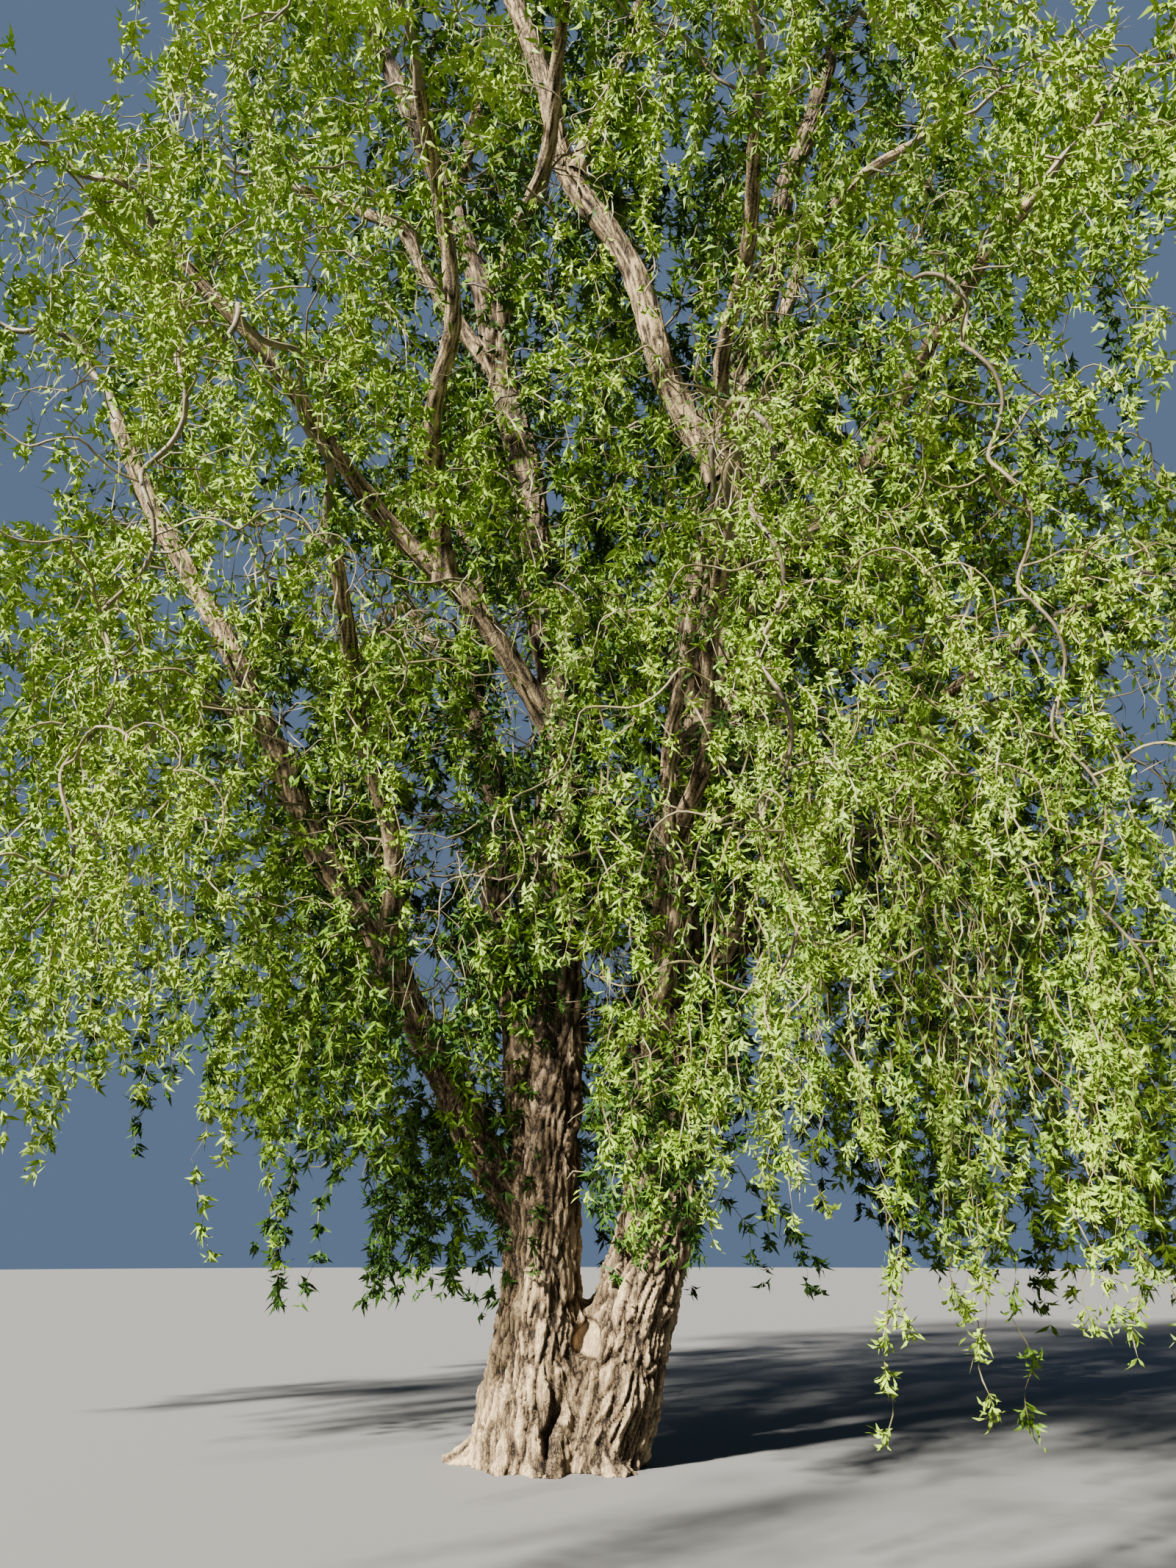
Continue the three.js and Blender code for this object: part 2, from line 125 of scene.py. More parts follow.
# Growth that is finer than the solids': stems, branches, twigs, strands and short tufts
SPINE = Named(spacing=0.1, curl=0.05, wave=0.6, grow=0.6, tip_radius=0.005, taper=0.3, sides=6, strands=0.07)
BRANCH = Named(spacing=0.6, first=0.24, lowest=2.6, fall=2.6, floor=1.5, climb=52, climbs=(0.5, 1.1), turn=77,
               length=(1.3, 2.7), stride=0.3, weep=19, wander=55, fewest=3, step=0.1, curl=0.05, wave=0.55,
               draw=DRAW.branch_phase, radii=(0.012, 0.0035), sides=4, strands=0.1, twigs=0.45,
               twig_length=(0.4, 0.8))
FINE_TWIG = Named(per_stride=3, length=(0.6, 1.45), stride=TWIG.stride / 2, weep=TWIG.weep / 2,
                  wander=TWIG.wander, fewest=2, step=0.08, curl=0.04, wave=0.34, draw=DRAW.twig_phase,
                  radii=(0.0062, 0.0023), sides=3, strands=0.13, bare_share=0.08)
STEEP_STRIDES = 2  # twigs on a stem's first strides climb twice as steeply
BARE_FOOT = 3  # steps at the foot of a stem or branch without strands
STRAND = Named(step=0.14, lengths=(0.35, 1.2), slopes=(-55, 30), droop=0.2, curl=0.032, wave=(0.28, 0.46))
TUFT = Named(step=0.085, lengths=(0.18, 0.44), slopes=(-60, 65), droop=0.5, curl=0.034, wave=(0.24, 0.38))
TUFT_SHARES = Named(crown=0.62, skirt=0.3)
FEWEST_POINTS = 3  # of a strand
LENGTH_POWER = 1.4  # above 1, more strands are short
SWAY = Named(angle=40, pace=4)  # how a strand's bearing swings along it
CURLS = Named(grow=0.2, sizes=(0.5, 1.3))
# The fringe of each tier: how much of the way down to the floor its strands hang
SKIRT = Named(height=2.2, middle=0.74, waves=0.6, grain=1.7, slice=3, spread=0.3, falls=(0.35, 1.06))
HEM = Named(above=4, drop=1.7, grain=0.8)  # how far the higher curtains hang over the ones below
SHOOT_TWIG = Named(radii=(0.0031, 0.0015), turn=0.9)  # the strands' own wood
CURVE_STEPS = 16  # between two points of a smooth curve
SMOOTH = Named(near=4.6, share=0.45)  # growth this near the eye is made in finer steps
ROOM = Named(cell=0.4, distances=(3.5, 7, 13), most=(1.9, 0.9, 0.45))  # most metres of strand in a cell
CLUMPS = Named(grain=(1.3, 1.3, 0.5), swing=2.2, shares=(0.1, 2.0))  # how the strands gather in garlands
REACH = 0.09  # how far the finest growth may pass the solids' box
LOWEST = 0.05
CEILING = Named(rise=0.32, fall=0.07)  # the crown's top: above the solids, and its curve down from the middle

# Leaves: bend, twist and opening are in degrees, and late is the width near the tip
LEAF = Named(length=0.087, width=0.0185, bare_share=0.12, bare=0.16, first=0.03, shortest=0.05,
             opening=(25, 90), sag=0.25, lengths=(0.7, 1.25), widths=(0.8, 1.2), bend=(75, 35), twist=(0, 40),
             late=0.8, slack=0.02)
TUFTS = Named(length=0.17, squeeze=0.4, jitter=0.008)  # the leaves of a strand gather in tufts
# How long, wide and far apart leaves are, by their distance from the eye
LEAF_SCALES = Named(distances=(2.5, 4.0, 6.0, 9.0, 13.0), lengths=(0.48, 0.68, 0.93, 1.3, 1.6),
                    widths=(0.36, 0.58, 0.93, 1.5, 1.75))
LEAF_GAPS = Named(distances=(2.5, 4.0, 5.5, 9.0, 13.0), gaps=(0.0054, 0.0072, 0.0091, 0.0104, 0.0125))
STATIONS = (0.38, 0.72)  # along a leaf, where its outline has corners
NEAR_LEAF = np.array([(0, 2, 1), (1, 2, 3), (3, 2, 4)])
FAR_LEAF = np.array([(0, 2, 1), (1, 2, 3)])
FAR_CORNERS = [0, 1, 2, 4]
FAR = 5.4  # from the eye: leaves beyond have one face less
MOST_FACES = 195000  # in a piece
# Leaf greens from light to dark, dealt out partly as painted light and shade: the darkest to sprays inside
# the crown, in thin garlands and away from the light
GREENS = {
    "yellow": (0.205, 0.305, 0.024),
    "pale": (0.2, 0.3, 0.05),
    "bright": (0.152, 0.252, 0.014),
    "fresh": (0.08, 0.153, 0.009),
    "deep": (0.023, 0.058, 0.006),
}
GREEN_SHARES = (0.16, 0.1, 0.24, 0.25, 0.25)
# Painted shade in the leaves: what gives a spray a darker green, standing in for shade: the way in from far
# to near the crown's middle, thin garlands, the side that the light doesn't reach, and how much these count
# beside chance
SHADE_PAINTING = Named(near=1.0, far=4.4, thin=0.4, contrast=1.6, sun=0.3, reach=5, pull=0.74)

# The photo's view: eye, how far it is tilted up, and lens
EYE = np.array([0.17, -7.0, 1.06])
TILT = 21.4
CAMERA = Named(lens=27.04, sensor=36, clip=500)
NEAREST = 0.1  # in front of the eye
# In front of the trunk, as seen from the eye: slopes to the right, and the slope below which it is bare
WINDOWS = [(-0.6, -0.3, 0.11), (-0.3, -0.16, 0.05), (-0.16, -0.075, 0.13), (-0.075, -0.005, 0.215),
           (-0.005, 0.035, 0.01), (0.035, 0.1, -0.015), (0.1, 0.14, 0.045)]
WINDOW_BACK = -0.35
# Openings between the sprays, as seen from the eye: right, up and half-width in the picture's plane
OPENINGS = [(-0.47, 0.48, 0.05), (-0.33, 0.57, 0.03), (-0.45, 0.33, 0.04), (-0.4, 0.25, 0.03),
            (-0.29, 0.19, 0.035), (-0.2, 0.16, 0.04), (-0.25, 0.23, 0.03), (-0.135, 0.14, 0.03),
            (-0.06, 0.13, 0.028), (-0.055, 0.09, 0.028), (-0.06, 0.05, 0.025), (-0.26, 0.05, 0.022),
            (-0.13, -0.06, 0.028), (-0.08, -0.085, 0.025), (-0.14, -0.17, 0.03), (0.015, -0.16, 0.025),
            (0.18, 0.42, 0.022), (0.155, 0.64, 0.02), (0.47, 0.08, 0.04), (0.48, 0.02, 0.025)]
OPENING = Named(depth=0.5, kept=0.12)
# Dark recesses in the front of the crown, told the same way
RECESSES = [(0.307, -0.166, 0.065), (0.262, -0.06, 0.045), (0.36, -0.25, 0.05), (0.118, -0.13, 0.035),
            (0.21, -0.2, 0.03), (-0.14, 0.38, 0.035), (0.4, -0.1, 0.03), (-0.2, -0.02, 0.03)]
RECESS = Named(depth=7.2, dropped=0.8)
# Limbs with few leaves in front of them: height above which, half-width as seen from the eye, share dropped
BARED = [("crossing_bough", 6.3, 0.021, 0.9), ("centre_bough", 5.6, 0.015, 0.65),
         ("outer_left_bough", 4.3, 0.013, 0.8), ("right_bough", 2.4, 0.018, 0.6),
         ("left_bough", 4.4, 0.014, 0.75), ("high_bough_3", 7.2, 0.012, 0.7)]
BARE = Named(step=0.12, ahead=0.08)
# Limbs that the light reaches, and the height above which it does
LIT_LIMBS = [("crossing_bough", 6.3), ("outer_left_bough", 4.5), ("left_bough", 4.6), ("high_bough_3", 7.4)]
LIT = Named(step=0.2, radius=0.16, dropped=0.85)
# Branches at chosen places of a carrier, before the limbs and at the crest: height, bearing, climb, length
SPRAYS = [
    ("left_bough", [(1.75, 245, 66, 1.3), (1.95, 290, 62, 1.2), (2.15, 225, 58, 1.4), (2.35, 262, 42, 1.5),
                    (2.75, 285, 50, 1.6), (3.1, 240, 40, 1.7), (3.5, 270, 45, 1.8), (4.0, 225, 40, 1.7),
                    (4.4, 290, 42, 1.8)]),
    ("right_bough", [(1.75, 205, 62, 0.9), (1.5, 240, 72, 0.9), (1.95, 180, 50, 1.0)]),
    ("left_bough", [(1.6, 275, 70, 1.1)]),
    ("centre_bough", [(2.5, 250, 52, 1.5), (3.3, 285, 48, 1.6)]),
    ("right_bough", [(3.2, 300, 45, 1.8), (3.8, 330, 40, 1.9), (2.1, 320, 50, 1.5)]),
    ("mid_bough_1", [(6.2, 345, 35, 2.2), (5.7, 330, 40, 2.0)]),
    ("outer_right_bough", [(5.6, 20, 45, 2.1), (6.3, 45, 40, 2.2), (5.0, 350, 45, 2.2)]),
    ("left_bough", [(5.3, 160, 40, 2.0), (5.8, 120, 45, 1.8), (4.9, 190, 40, 2.0)]),
    ("low_bough_8", [(3.4, 300, 25, 2.2), (3.9, 345, 25, 2.4)]),
    ("low_bough_1", [(3.4, 330, 30, 2.2)]),
    ("crest_bough_1", [(11.3, 40, 84, 1.6), (11.5, 160, 88, 1.8), (11.55, 280, 80, 1.7)]),
    ("crest_bough_2", [(11.4, 250, 86, 1.7), (11.6, 20, 84, 1.6), (11.2, 130, 82, 1.6)]),
    ("low_bough_1", [(3.7, 60, 20, 2.2)]),
    ("low_bough_8", [(3.6, 20, 20, 2.2)]),
    ("low_bough_2", [(3.6, 20, 20, 2.2)]),
    ("low_bough_1", [(3.9, 10, 25, 2.0)]),
    ("low_bough_7", [(3.4, 320, 30, 1.8)]),
    ("front_bough", [(3.6, 20, 30, 1.8)]),
]
SPRAY = Named(fall=2.7, floor=0.9, crowd=1.5)
# Ropes that hang below the rest: near where each leaves a strand's tip, its strands and how low it ends
ROPES = [((-1.84, -0.25, 1.7), 3, 0.74), ((1.15, -3.35, 1.2), 4, 0.52), ((0.7, -3.3, 1.3), 1, 0.62),
         ((1.75, -3.2, 1.2), 2, 0.6), ((-2.7, -0.2, 1.9), 2, 1.2)]
ROPE = Named(step=0.07, slopes=(-75, -50), droop=0.3, curl=0.028, wave=(0.24, 0.34), shares=(0.65, 1))

# Bark: the trunk's skin hands over to the boughs' at its top, with a seam that they overlap in
TRUNK_TOP = 2.25
FORK_TOP = 1.5  # boughs that leave below it share the trunk's skin
SEAM = Named(overlap=0.25, sink=0.08, fade=0.4, least=0.93, rest=0.07, widen=0.6)
VOXEL = 0.0115
MELT = Named(factor=0.6, times=30)
SKIN_SIDES = 24
COURSE = Named(fine=0.05, coarse=0.07, thick=0.1, stem_size=0.26, bend=0.05, grain=1.4, slice=5.1, ends=0.8)
COLLAR = (0.35, 0.45)  # where a bough leaves the trunk: how much wider, and over what run
HIGH_COLLAR = Named(wider=0.5, radii=2.2)  # where it leaves another bough
SIDE_WIDTH = 0.0145
SIDES = (12, 72)
PLATE = Named(widest=0.052, share=0.34, narrowest=0.024, stretch=5.2, depth=0.034, level=0.6, full=0.2)
# The bark's patterns: how often they repeat across a limb and along it, and how much they count
PATTERN = Named(bend=(0.8, 1.6), flake=(2.1, 3.4), rough=(2.4, 4.5), turn=(1.4, 2.3), knob=(1.5, 2.6),
                swell=1.7)
WEIGHT = Named(bend=(0.45, 0.5), ridge=3.2, crack=0.1, flake=3.4, plain=0.5, flakes=0.36, rough=0.2,
               rise=0.06, turn=0.55, swell=0.05, knob=0.06)
ROUGHNESS = (0.7, 2.1, 3)  # of the fractal: how rough, how fine and how many layers
KEY_SHIFT = Named(plates=7, swell=3.7)  # so that no two limbs have the same pattern
BLEND = Named(power=12.0, least=0.08, thickest=0.24, inner=0.3, beyond=8)  # between the trunk's limbs
LUMP = Named(size=0.016, grain=7.0)
# Painted shade: the trunk's bark colour darkens with height, between these heights and down to this share,
# for the crown's shade on the upper stems
UPPER_STEM_SHADE = Named(low=0.9, high=1.5, share=0.72)  # the bark darkens with height
SADDLE = Named(x=0.085, low=0.25, top=0.79, radius=0.1, rings=8)  # fills the stems' gap up to the notch
FRONT = 0.3
# The cleft at the foot between the stems: a dented groove whose bark colour is also darkened there, as
# painted shade
CLEFT = Named(course=np.array([(0.0, -0.075), (0.34, 0.04), (0.52, -0.01)]), top=0.46, fade=0.2, width=0.03,
              depth=0.06, dark=0.9, wiggle=0.022, grain=9)
SCAR = Named(centre=(0.175, 0.6), half=(0.08, 0.105), depth=0.012, lip=0.024, uneven=0.08, slope=0.25,
             lip_ring=(1.18, 0.2), edge_ring=(0.88, 0.1), grain=(38, 9), wood=0.95, streaks=0.5, edge=0.85,
             kept=0.3)

# Colours of bark from its cracks up: crack, middle, ridge and heart of a ridge
BARKS = {
    "trunk_bark": [(0.011, 0.007, 0.004), (0.118, 0.083, 0.047), (0.39, 0.288, 0.168), (0.5, 0.38, 0.222)],
    # A darker copy of the boughs' bark as painted shade for the main stems under the crown, and a lighter
    # copy as painted light for the sunlit limbs
    "bough_bark": [(0.01, 0.007, 0.005), (0.055, 0.039, 0.023), (0.225, 0.165, 0.097), (0.31, 0.23, 0.137)],
    "limb_bark": [(0.013, 0.009, 0.005), (0.13, 0.095, 0.053), (0.46, 0.345, 0.19), (0.56, 0.425, 0.25)],
}
BARK_STOPS = (0.04, 0.32, 0.82, 1.0)
BARK = Named(stretch=0.22, fibres=95, patches=7, swirls=22, swirl=0.05, flakes=52, split=0.16, flake=0.5,
             grain=0.46, lowered=0.355, tint=0.75, roughness=0.92, gloss=0.2, bump=0.85, bump_depth=0.008)
PATCHES = [(0.3, (0.62, 0.6, 0.56)), (0.7, (1.0, 0.98, 0.94))]
# Dark and light patches of young wood
TWIG_BARKS = {
    "young_bark": [(0.36, (0.045, 0.035, 0.018)), (0.62, (0.15, 0.115, 0.056))],
    "shoot_bark": [(0.36, (0.085, 0.065, 0.025)), (0.62, (0.175, 0.142, 0.052))],
}
TWIG_BARK = Named(patches=14, roughness=0.6)
LEAF_FINISH = dict(roughness=0.55, gloss=0.12)
# Boughs that get the lighter bark copy, as painted light; the other main boughs get the darker copy, as
# painted shade
SUNLIT_BOUGHS = ("crossing_bough", "outer_left_bough", "outer_right_bough", "left_bough", "front_bough")

# Stage and light
FLOOR = Named(radius=60, sides=96, colour=(0.08, 0.08, 0.0777), roughness=0.9)
SURROUND = Named(colour=(0.42, 0.62, 1.0), strength=0.28)
KEY_LIGHT = Named(energy=35.0, spread=4, colour=(1.0, 0.95, 0.86))
LIGHT_WAY = (0.6, 0.6, -0.7)  # the way that the light falls


def chance(*keys):
    """A repeatable share from whole numbers, the same as in the solids."""
    mixed = SEED
    for key in keys:
        mixed = ((mixed ^ (key + MIXERS[0])) & WORD) * MIXERS[1] & WORD
        mixed ^= mixed >> 13
    mixed = (mixed ^ (mixed >> 16)) * MIXERS[2] & WORD
    mixed ^= mixed >> 15
    return mixed / 2**32


def mix(low, high, share):
    return low + (high - low) * share


def ramped(values, low, high):
    """0 at low, 1 at high and even between."""
    return np.clip((values - low) / (high - low), 0, 1)


def hump(values, middle, width):
    """1 at the middle and soon nothing beside it."""
    return np.exp(-((values - middle) / width) ** 2)


def unit(vectors):
    return vectors / np.maximum(np.linalg.norm(vectors, axis=-1, keepdims=True), 1e-9)


def aim(bearing, climb):
    bearing, climb = np.radians(bearing), np.radians(climb)
    flat = np.cos(climb)
    return np.stack([flat * np.cos(bearing), flat * np.sin(bearing), np.sin(climb)], -1)


def bearing_of(direction):
    return math.degrees(math.atan2(direction[1], direction[0]))


def sideways(run):
    across = np.cross(UP, run)
    return unit(across) if np.linalg.norm(across) > 0 else np.array([1.0, 0, 0])


def at_height(points, height):
    """Where a line first reaches a height."""
    above = np.nonzero(points[:, 2] >= height)[0]
    k = max(1, above[0] if len(above) else 0)
    share = (height - points[k - 1, 2]) / (points[k, 2] - points[k - 1, 2])
    return mix(points[k - 1], points[k], min(max(share, 0), 1))


def runs_of(line):
    """How far along a line each of its points lies."""
    return np.concatenate([[0], np.cumsum(np.linalg.norm(np.diff(line, axis=0), axis=1))])


def at_runs(line, runs, wanted):
    return np.stack([np.interp(wanted, runs, line[:, axis]) for axis in range(3)], -1)


def smooth_curve(points):
    """A smooth curve through points, in many small steps."""
    ends = np.vstack([2 * points[0] - points[1], points, 2 * points[-1] - points[-2]])
    t = np.linspace(0, 1, CURVE_STEPS, endpoint=False)[:, None]
    fine = []
    for k in range(1, len(ends) - 2):
        p0, p1, p2, p3 = ends[k - 1:k + 3]
        fine.append(0.5 * (2 * p1 + (p2 - p0) * t + (2 * p0 - 5 * p1 + 4 * p2 - p3) * t**2
                           + (3 * p1 - p0 - 3 * p2 + p3) * t**3))
    return np.vstack([*fine, points[-1:]])


def resampled_limb(points, radii, spacing):
    """A smooth curve through points in even steps, and the radius and the run at each step."""
    fine = smooth_curve(points)
    runs = runs_of(fine)
    count = max(2, int(round(runs[-1] / spacing))) + 1
    wanted = np.linspace(0, runs[-1], count)
    sizes = np.interp(wanted / runs[-1], np.linspace(0, 1, len(radii)), radii)
    return at_runs(fine, runs, wanted), sizes, wanted


def resampled(points, spacing):
    return resampled_limb(points, (0, 0), spacing)[0]


# Limb paths
def stem_path(foot, head, top, radius, spread):
    ends = np.array([(*foot, -BURIED), (*head, top)], float)
    points = mix(ends[0], ends[1], STEM_SHARES[:, None])
    return points, radius + spread * np.exp(-np.maximum(points[:, 2], 0) / SPREAD_HEIGHT)


def lobe_path(bearing, reach):
    shares = LOBE.shares
    points = aim(bearing, 0) * (reach * mix(LOBE.inner, 1, shares))[:, None]
    points[:, 2] = mix(LOBE.top, LOBE.foot, 1 - (1 - shares) ** 2)
    return points, mix(*LOBE.radii, shares)


def bough_path(start, tip, bow, diameters, crook, key):
    run = tip - start
    length = np.linalg.norm(run)
    steps = max(FEWEST_STEPS, int(math.floor(length / STEP_LENGTH + 0.5)))
    across = sideways(run)
    over = unit(np.cross(across, run))
    share = np.linspace(0, 1, steps + 1)[:, None]
    angle = 2 * np.pi * (chance(key, DRAW.phase) + share * length / CROOK_LENGTH)
    swing = crook * np.sin(np.pi * share)
    points = (start + run * share + np.array(bow) * 4 * share * (1 - share)
              + across * swing * np.sin(angle) + over * swing * np.cos(angle))
    return points, mix(*diameters, share[:, 0]) / 2


def ring_bough(ring, level, place):
    bearing = (ring.first + 360 * place / ring.places
               + RING_JITTER.bearing * (2 * chance(level, place, DRAW.bearing) - 1))
    height = ring.height + RING_JITTER.height * (2 * chance(level, place, DRAW.height) - 1)
    tip = aim(bearing, 0) * ring.radius + np.array([*CROWN_MIDDLE, height])
    foot = height - ring.rise
    carriers = [limbs[name][0] for name in RING_CARRIERS]
    starts = [at_height(points, foot) for points in carriers if points[0, 2] < foot < points[-1, 2]]
    start = min(starts, key=lambda point: np.linalg.norm(point - tip))
    return f"{ring.name}_bough_{place + 1}", start, tip


limbs = {name: stem_path(**stem) for name, stem in STEMS.items()}
for index, (name, carrier, leaves, tip, bow, diameters, crook) in enumerate(MAIN_BOUGHS):
    start = at_height(limbs[carrier][0], leaves)
    limbs[name] = bough_path(start, np.array(tip, float), bow, diameters, crook, index)
ring_places = [(ring, level, place) for level, ring in enumerate(RINGS)
               for place in range(ring.places) if place not in ring.taken]
for index, (ring, level, place) in enumerate(ring_places):
    name, start, tip = ring_bough(ring, level, place)
    limbs[name] = bough_path(start, tip, **RING_BOUGH, key=len(MAIN_BOUGHS) + index)
boughs = [name for name in limbs if name not in STEMS]


# Masses
def shoot(start, bearing, climb, floor, key, stride, weep, wander, most=MOST_STRIDES):
    """Grows stride by stride, turning down and wandering, until it reaches the floor."""
    points = [np.array(start)]
    heading, slope = bearing, climb
    for k in range(most):
        if slope <= 0 and points[k][2] <= floor:
            break
        points.append(points[k] + aim(heading, slope) * stride)
        slope = max(slope - weep, STEEPEST)
        heading += wander * (chance(key, k, DRAW.wander) - 0.5)
    return np.array(points)


def floor_of(tip):
    fringe, swing = next((fringe, swing) for below, fringe, swing in LEVELS if tip[2] < below)
    bearing = math.atan2(tip[1] - CROWN_MIDDLE[1], tip[0] - CROWN_MIDDLE[0])
    return fringe + swing * math.cos(bearing - math.radians(SKIRT_HIGHEST))


def mass_of(name, start, direction, size, floor, key, foot_radius):
    climb = math.degrees(math.asin(direction[2]))
    spine = shoot(start, bearing_of(direction), climb, floor + BLADE_LENGTH * size, key,
                  STEM.stride * size, STEM.weep, STEM.wander)
    return dict(name=name, spine=spine, size=size, floor=floor, key=key, foot_radius=foot_radius)


masses = []
for index, name in enumerate(boughs):
    points, radii = limbs[name]
    direction = unit(points[-1] - points[-2])
    masses.append(mass_of(name.replace("bough", "foliage"), points[-1] + direction * GAP, direction, 1,
                          floor_of(points[-1]), KEYS.masses + index, radii[-1]))
for index, (name, carrier, leaves, bearing, climb, size) in enumerate(SHOOTS):
    masses.append(mass_of(f"{name}_foliage", at_height(limbs[carrier][0], leaves), aim(bearing, climb),
                          size, SHOOT.floor, KEYS.shoots + index, SHOOT.foot))
mass_names = [mass["name"] for mass in masses]

# The room that growth has
reach_low = np.array(cad_box[0]) - REACH
reach_low[2] = LOWEST
reach_high = np.array(cad_box[1]) + REACH
reach_high[2] = cad_box[1][2] + CEILING.rise
room = np.zeros(np.ceil((reach_high - reach_low) / ROOM.cell).astype(int) + 1)
grown = Named(stems=[], branches=[], twigs=[], strands=[])


def seen(points):
    """Places in the picture's plane, as slopes to the right and up, and how far in front of the eye."""
    away = points - EYE
    tilt = math.radians(TILT)
    depth = away[..., 1] * math.cos(tilt) + away[..., 2] * math.sin(tilt)
    rise = away[..., 2] * math.cos(tilt) - away[..., 1] * math.sin(tilt)
    safe = np.maximum(depth, NEAREST)
    return away[..., 0] / safe, rise / safe, depth


def lowest_at(points, floor):
    """The height that foliage may hang down to at each place."""
    ahead = np.maximum(points[..., 1] - EYE[1], NEAREST)
    right = (points[..., 0] - EYE[0]) / ahead
    lowest = np.full(right.shape, floor, float)
    for left_side, right_side, slope in WINDOWS:
        inside = (right > left_side) & (right < right_side) & (points[..., 1] < WINDOW_BACK)
        lowest = np.where(inside, np.maximum(lowest, EYE[2] + ahead * slope), lowest)
    return lowest


def allowed(points, floor):
    """How many points of a line, from its foot, stay in the crown's reach and above its floor."""
    out = points[:, :2] - CROWN_MIDDLE
    ceiling = reach_high[2] - CEILING.fall * (out**2).sum(axis=1)
    good = ((points > reach_low) & (points < reach_high)).all(axis=1) & (points[:, 2] < ceiling)
    good &= points[:, 2] > lowest_at(points, floor)
    good[0] = True
    return len(points) if good.all() else int(np.argmin(good))


def garland(line):
    """How strongly growth gathers at a line's middle."""
    return noise.noise(line[len(line) // 2] * CLUMPS.grain)


def takes_room(line, step, crowd):
    """Takes room for a strand in the cells that it passes, unless they are full."""
    cells = tuple(((line - reach_low) / ROOM.cell).astype(int).T)
    away = np.linalg.norm(line[0] - EYE)
    clump = float(np.clip(1 + CLUMPS.swing * garland(line), *CLUMPS.shares))
    if room[cells].mean() >= crowd * clump * np.interp(away, ROOM.distances, ROOM.most):
        return False
    np.add.at(room, cells, step)
    return True


# Growth
def curled(points, curl, wave, phase, grow=0.3):
    """Winds a line round its own course, from nothing at its foot."""
    tangents = unit(np.gradient(points, axis=0))
    across = unit(np.cross(tangents, aim(np.degrees(phase) * 3, 10)))
    over = np.cross(tangents, across)
    runs = runs_of(points)
    size = curl * np.minimum(runs / grow, 1)
    angle = phase + 2 * np.pi * runs / wave
    return points + across * (size * np.sin(angle))[:, None] + over * (size * np.cos(angle))[:, None]


def finer(line, step):
    """The line with finer steps, if it comes near the eye."""
    if np.linalg.norm(line - EYE, axis=1).min() > SMOOTH.near:
        return line
    return resampled(line, step * SMOOTH.share)


def strand(kind, start, length, floor, key):
    """One weeping strand or short tuft: it leaves sideways, droops and hangs in loose curls."""
    step = kind.step
    heading = 360 * chance(key, DRAW.heading)
    slope = mix(*kind.slopes, chance(key, DRAW.slope))
    runs = np.arange(1, max(FEWEST_POINTS, round(length / step)) + 1) * step
    slopes = mix(STEEPEST, slope, np.exp(-runs / kind.droop))
    headings = heading + SWAY.angle * np.sin(runs * SWAY.pace + key)
    line = np.vstack([start, start + np.cumsum(aim(headings, slopes) * step, axis=0)])
    curl = kind.curl * mix(*CURLS.sizes, chance(key, DRAW.curl))
    wave = mix(*kind.wave, chance(key, DRAW.wave))
    line = curled(line, curl, wave, ROUND * chance(key, DRAW.curl_phase), CURLS.grow)
    stop = allowed(line, floor)
    return line[:stop] if stop >= FEWEST_POINTS else None


def hem_at(root, floor):
    """How low strands hang from a root: the higher curtains end unevenly, over the ones below."""
    if floor <= HEM.above:
        return floor
    wave = noise.noise((root[0] * HEM.grain, root[1] * HEM.grain, floor))
    return floor - HEM.drop * min(max(0.5 + wave, 0), 1)


def fringe_length(root, hem, pick):
    """A strand's length where it belongs to a tier's fringe."""
    wave = noise.noise((root[0] * SKIRT.grain, root[1] * SKIRT.grain, SKIRT.slice))
    share = SKIRT.middle + SKIRT.waves * wave + SKIRT.spread * (pick - 0.5)
    return (root[2] - hem) * float(np.clip(share, *SKIRT.falls))


def add_strands(line, spacing, floor, key, crowd=1):
    """Strands and tufts all along a line, where there is room for them."""
    runs = runs_of(line)
    for n, place in enumerate(np.arange(spacing * chance(key, DRAW.place), runs[-1], spacing)):
        root = at_runs(line, runs, place)
        hem = hem_at(root, floor)
        skirt = root[2] - hem < SKIRT.height
        tuft_share = TUFT_SHARES.skirt if skirt else TUFT_SHARES.crown
        kind = TUFT if chance(key, n, DRAW.kind) < tuft_share else STRAND
        pick = chance(key, n, DRAW.fall)
        length = mix(*kind.lengths, pick**LENGTH_POWER)
        if skirt and kind is STRAND:
            length = max(fringe_length(root, hem, pick), length)
        made = strand(kind, root, length, hem, key * KEY_STEPS.strand + n)
        if made is not None and takes_room(made, kind.step, crowd):
            grown.strands.append(finer(made, kind.step))


def grow(kind, root, bearing, climb, length, floor, key):
    """The line of a branch or twig, as far as it stays in the crown, or None if it is cut too short."""
    most = max(kind.fewest, round(length / kind.stride))
    points = shoot(root, bearing, climb, -math.inf, key, kind.stride, kind.weep, kind.wander, most)
    points = points[:allowed(points, floor)]
    if len(points) < kind.fewest:
        return None
    return curled(resampled(points, kind.step), kind.curl, kind.wave, ROUND * chance(key, kind.draw))


def add_twig(root, bearing, climb, length, floor, key):
    line = grow(FINE_TWIG, root, bearing, climb, length, floor, key)
    if line is None:
        return
    line = finer(line, FINE_TWIG.step)
    grown.twigs.append(line)
    if chance(key, DRAW.bare) > FINE_TWIG.bare_share:
        add_strands(line, FINE_TWIG.strands, floor, key)


